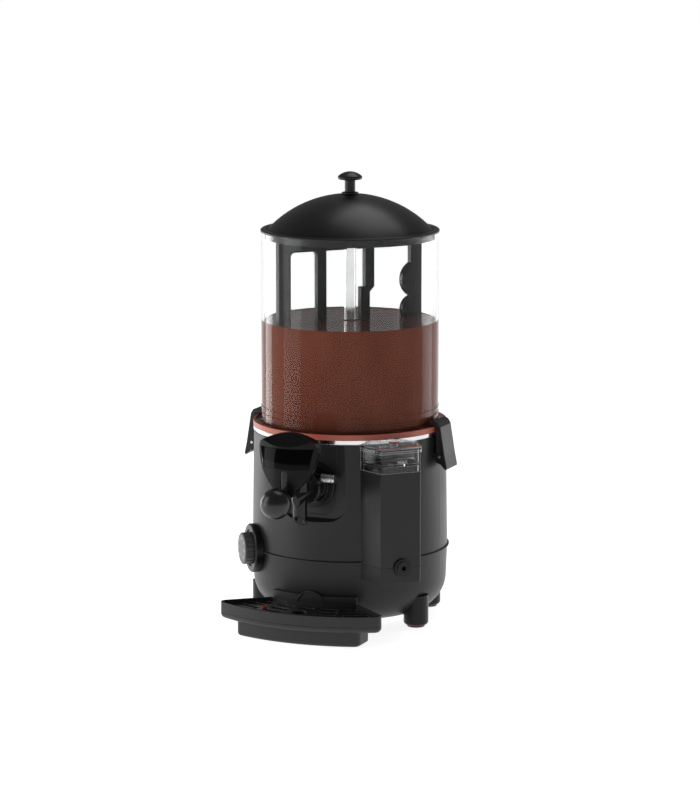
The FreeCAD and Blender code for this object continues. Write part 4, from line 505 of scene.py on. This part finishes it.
def knurled_nut():
    """Thumb nut with a diamond-knurled grip and turned ends, in place of the plain one."""
    low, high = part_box("clamp_nut")
    middle = (low + high) / 2
    radius = (high.z - low.z) / 2
    length = high.x - low.x
    steps = 72
    rows = 40
    ridges = 24
    twist = 40.0
    ridge_depth = 0.32 * MM
    end_length = 1.0 * MM
    end_depth = 0.5 * MM
    groove_start = 0.66
    groove_end = 0.74
    groove_depth = 0.7 * MM
    shape = bmesh.new()
    rings = []
    for row in range(rows + 1):
        share = row / rows
        x = low.x + length * share
        ring = []
        for step in range(steps):
            angle = FULL_TURN * step / steps
            wave = math.cos(ridges * angle + share * twist) + math.cos(ridges * angle - share * twist)
            grip = radius - ridge_depth * (0.5 - wave / 4)
            end = min(share, 1 - share) * length
            if end < end_length:
                grip = radius - end_depth * (1 - end / end_length)
            if groove_start < share < groove_end:
                grip = radius - groove_depth
            y = middle.y + grip * math.cos(angle)
            z = middle.z + grip * math.sin(angle)
            ring.append(shape.verts.new((x, y, z)))
        rings.append(ring)
    for first, second in zip(rings, rings[1:]):
        for step in range(steps):
            after = (step + 1) % steps
            shape.faces.new((first[step], first[after], second[after], second[step]))
    for ring in (rings[0], rings[-1]):
        shape.faces.new(ring)
    bmesh.ops.recalc_face_normals(shape, faces=shape.faces)
    mesh = bpy.data.meshes.new("knurled_nut")
    shape.to_mesh(mesh)
    shape.free()
    thing = piece("knurled_nut", mesh, materials["polished_steel"], "base")
    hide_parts("clamp_nut")
    return thing


def bevelled_window():
    """Label window with a fine chamfer round its face that catches the light, in place of the plain one."""
    plain = frame["nodes"]["label_window"]
    chamfer = 0.7 * MM
    sharp = math.radians(50.0)
    frontal = -0.7
    shape = bmesh.new()
    shape.from_mesh(plain.data)
    shape.transform(plain.matrix_world)
    bmesh.ops.remove_doubles(shape, verts=shape.verts, dist=0.01 * MM)
    rim = [
        edge for edge in shape.edges
        if len(edge.link_faces) == 2
        and edge.calc_face_angle() > sharp
        and any(face.normal.y < frontal for face in edge.link_faces)
    ]
    cut = bmesh.ops.bevel(shape, geom=rim, offset=chamfer, segments=1, profile=0.5, affect="EDGES")
    for face in cut["faces"]:
        face.material_index = 1
    mesh = bpy.data.meshes.new("bevelled_window")
    shape.to_mesh(mesh)
    shape.free()
    thing = piece("bevelled_window", mesh, finishes["label_window"], "base")
    rim_finish = moulded_plastic("label_rim", (0.02, 0.02, 0.02), (0.1, 0.1, 0.1), 0.15, level=1.0)
    mesh.materials.append(rim_finish)
    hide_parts("label_window")
    return thing


def floor():
    """Plain pale floor."""
    material, tree, shader = new_material("pale_floor")
    cloud = noise(tree, place(tree, (1.0, 1.0, 1.0)), 0.8, 3.0)
    mottled = blend_colours(tree, cloud, (0.9, 0.9, 0.9), (0.93, 0.93, 0.93))
    tree.links.new(mottled, shader.inputs["Base Color"])
    shader.inputs["Roughness"].default_value = 0.9
    shader.inputs["Specular IOR Level"].default_value = 0.1
    shader.inputs["Emission Color"].default_value = (1.0, 1.0, 1.0, 1.0)
    shader.inputs["Emission Strength"].default_value = 0.85
    half = 60.0
    mesh = bpy.data.meshes.new("floor")
    corners = [(-half, -half, 0.0), (half, -half, 0.0), (half, half, 0.0), (-half, half, 0.0)]
    mesh.from_pydata(corners, [], [(0, 1, 2, 3)])
    mesh.materials.append(material)
    thing = bpy.data.objects.new("floor", mesh)
    bpy.context.scene.collection.objects.link(thing)


def area_light(name, azimuth, distance, height, width, tall, radiance):
    """Soft light aimed at the machine's middle; azimuth is counted from the front, to the right."""
    light = bpy.data.lights.new(name, "AREA")
    light.shape = "RECTANGLE"
    light.size = width
    light.size_y = tall
    light.energy = radiance * math.pi * width * tall
    thing = bpy.data.objects.new(name, light)
    spot = Vector((math.sin(azimuth) * distance, -math.cos(azimuth) * distance, height))
    middle = Vector((0.0, 0.0, 0.3))
    thing.location = spot
    thing.rotation_euler = (middle - spot).to_track_quat("-Z", "Y").to_euler()
    bpy.context.scene.collection.objects.link(thing)


def studio():
    """Dim even room with soft lights: one above, one at the left and a strip behind each side."""
    left = camera_azimuth - math.radians(78.0)
    left_rear = camera_azimuth - math.radians(128.0)
    right_rear = camera_azimuth + math.radians(116.0)
    back = math.radians(168.0)
    world = bpy.data.worlds.new("studio")
    bpy.context.scene.world = world
    world.use_nodes = True
    background = world.node_tree.nodes["Background"]
    background.inputs["Color"].default_value = (0.17, 0.17, 0.17, 1.0)
    area_light("left_softbox", left, distance=1.2, height=0.5, width=0.62, tall=1.0, radiance=2.6)
    area_light("left_strip", left_rear, distance=1.5, height=0.3, width=0.5, tall=0.8, radiance=4.0)
    area_light("right_strip", right_rear, distance=1.5, height=0.3, width=0.6, tall=0.8, radiance=2.0)
    area_light("top_softbox", back, distance=0.6, height=2.0, width=1.1, tall=1.1, radiance=2.5)


def camera():
    """Camera at the photograph's place."""
    data = bpy.data.cameras.new("camera")
    data.lens = camera_lens
    data.sensor_width = camera_sensor
    data.clip_end = 200.0
    thing = bpy.data.objects.new("camera", data)
    thing.location = (
        math.sin(camera_azimuth) * camera_distance,
        -math.cos(camera_azimuth) * camera_distance,
        camera_height,
    )
    thing.rotation_euler = (math.pi / 2 - camera_pitch, 0.0, camera_azimuth)
    bpy.context.scene.collection.objects.link(thing)
    bpy.context.scene.camera = thing


dress_frame()
drink()
fill_mark()
dial_marks()
knurled_nut()
bevelled_window()
floor()
studio()
camera()
bpy.context.scene.view_settings.view_transform = "Standard"
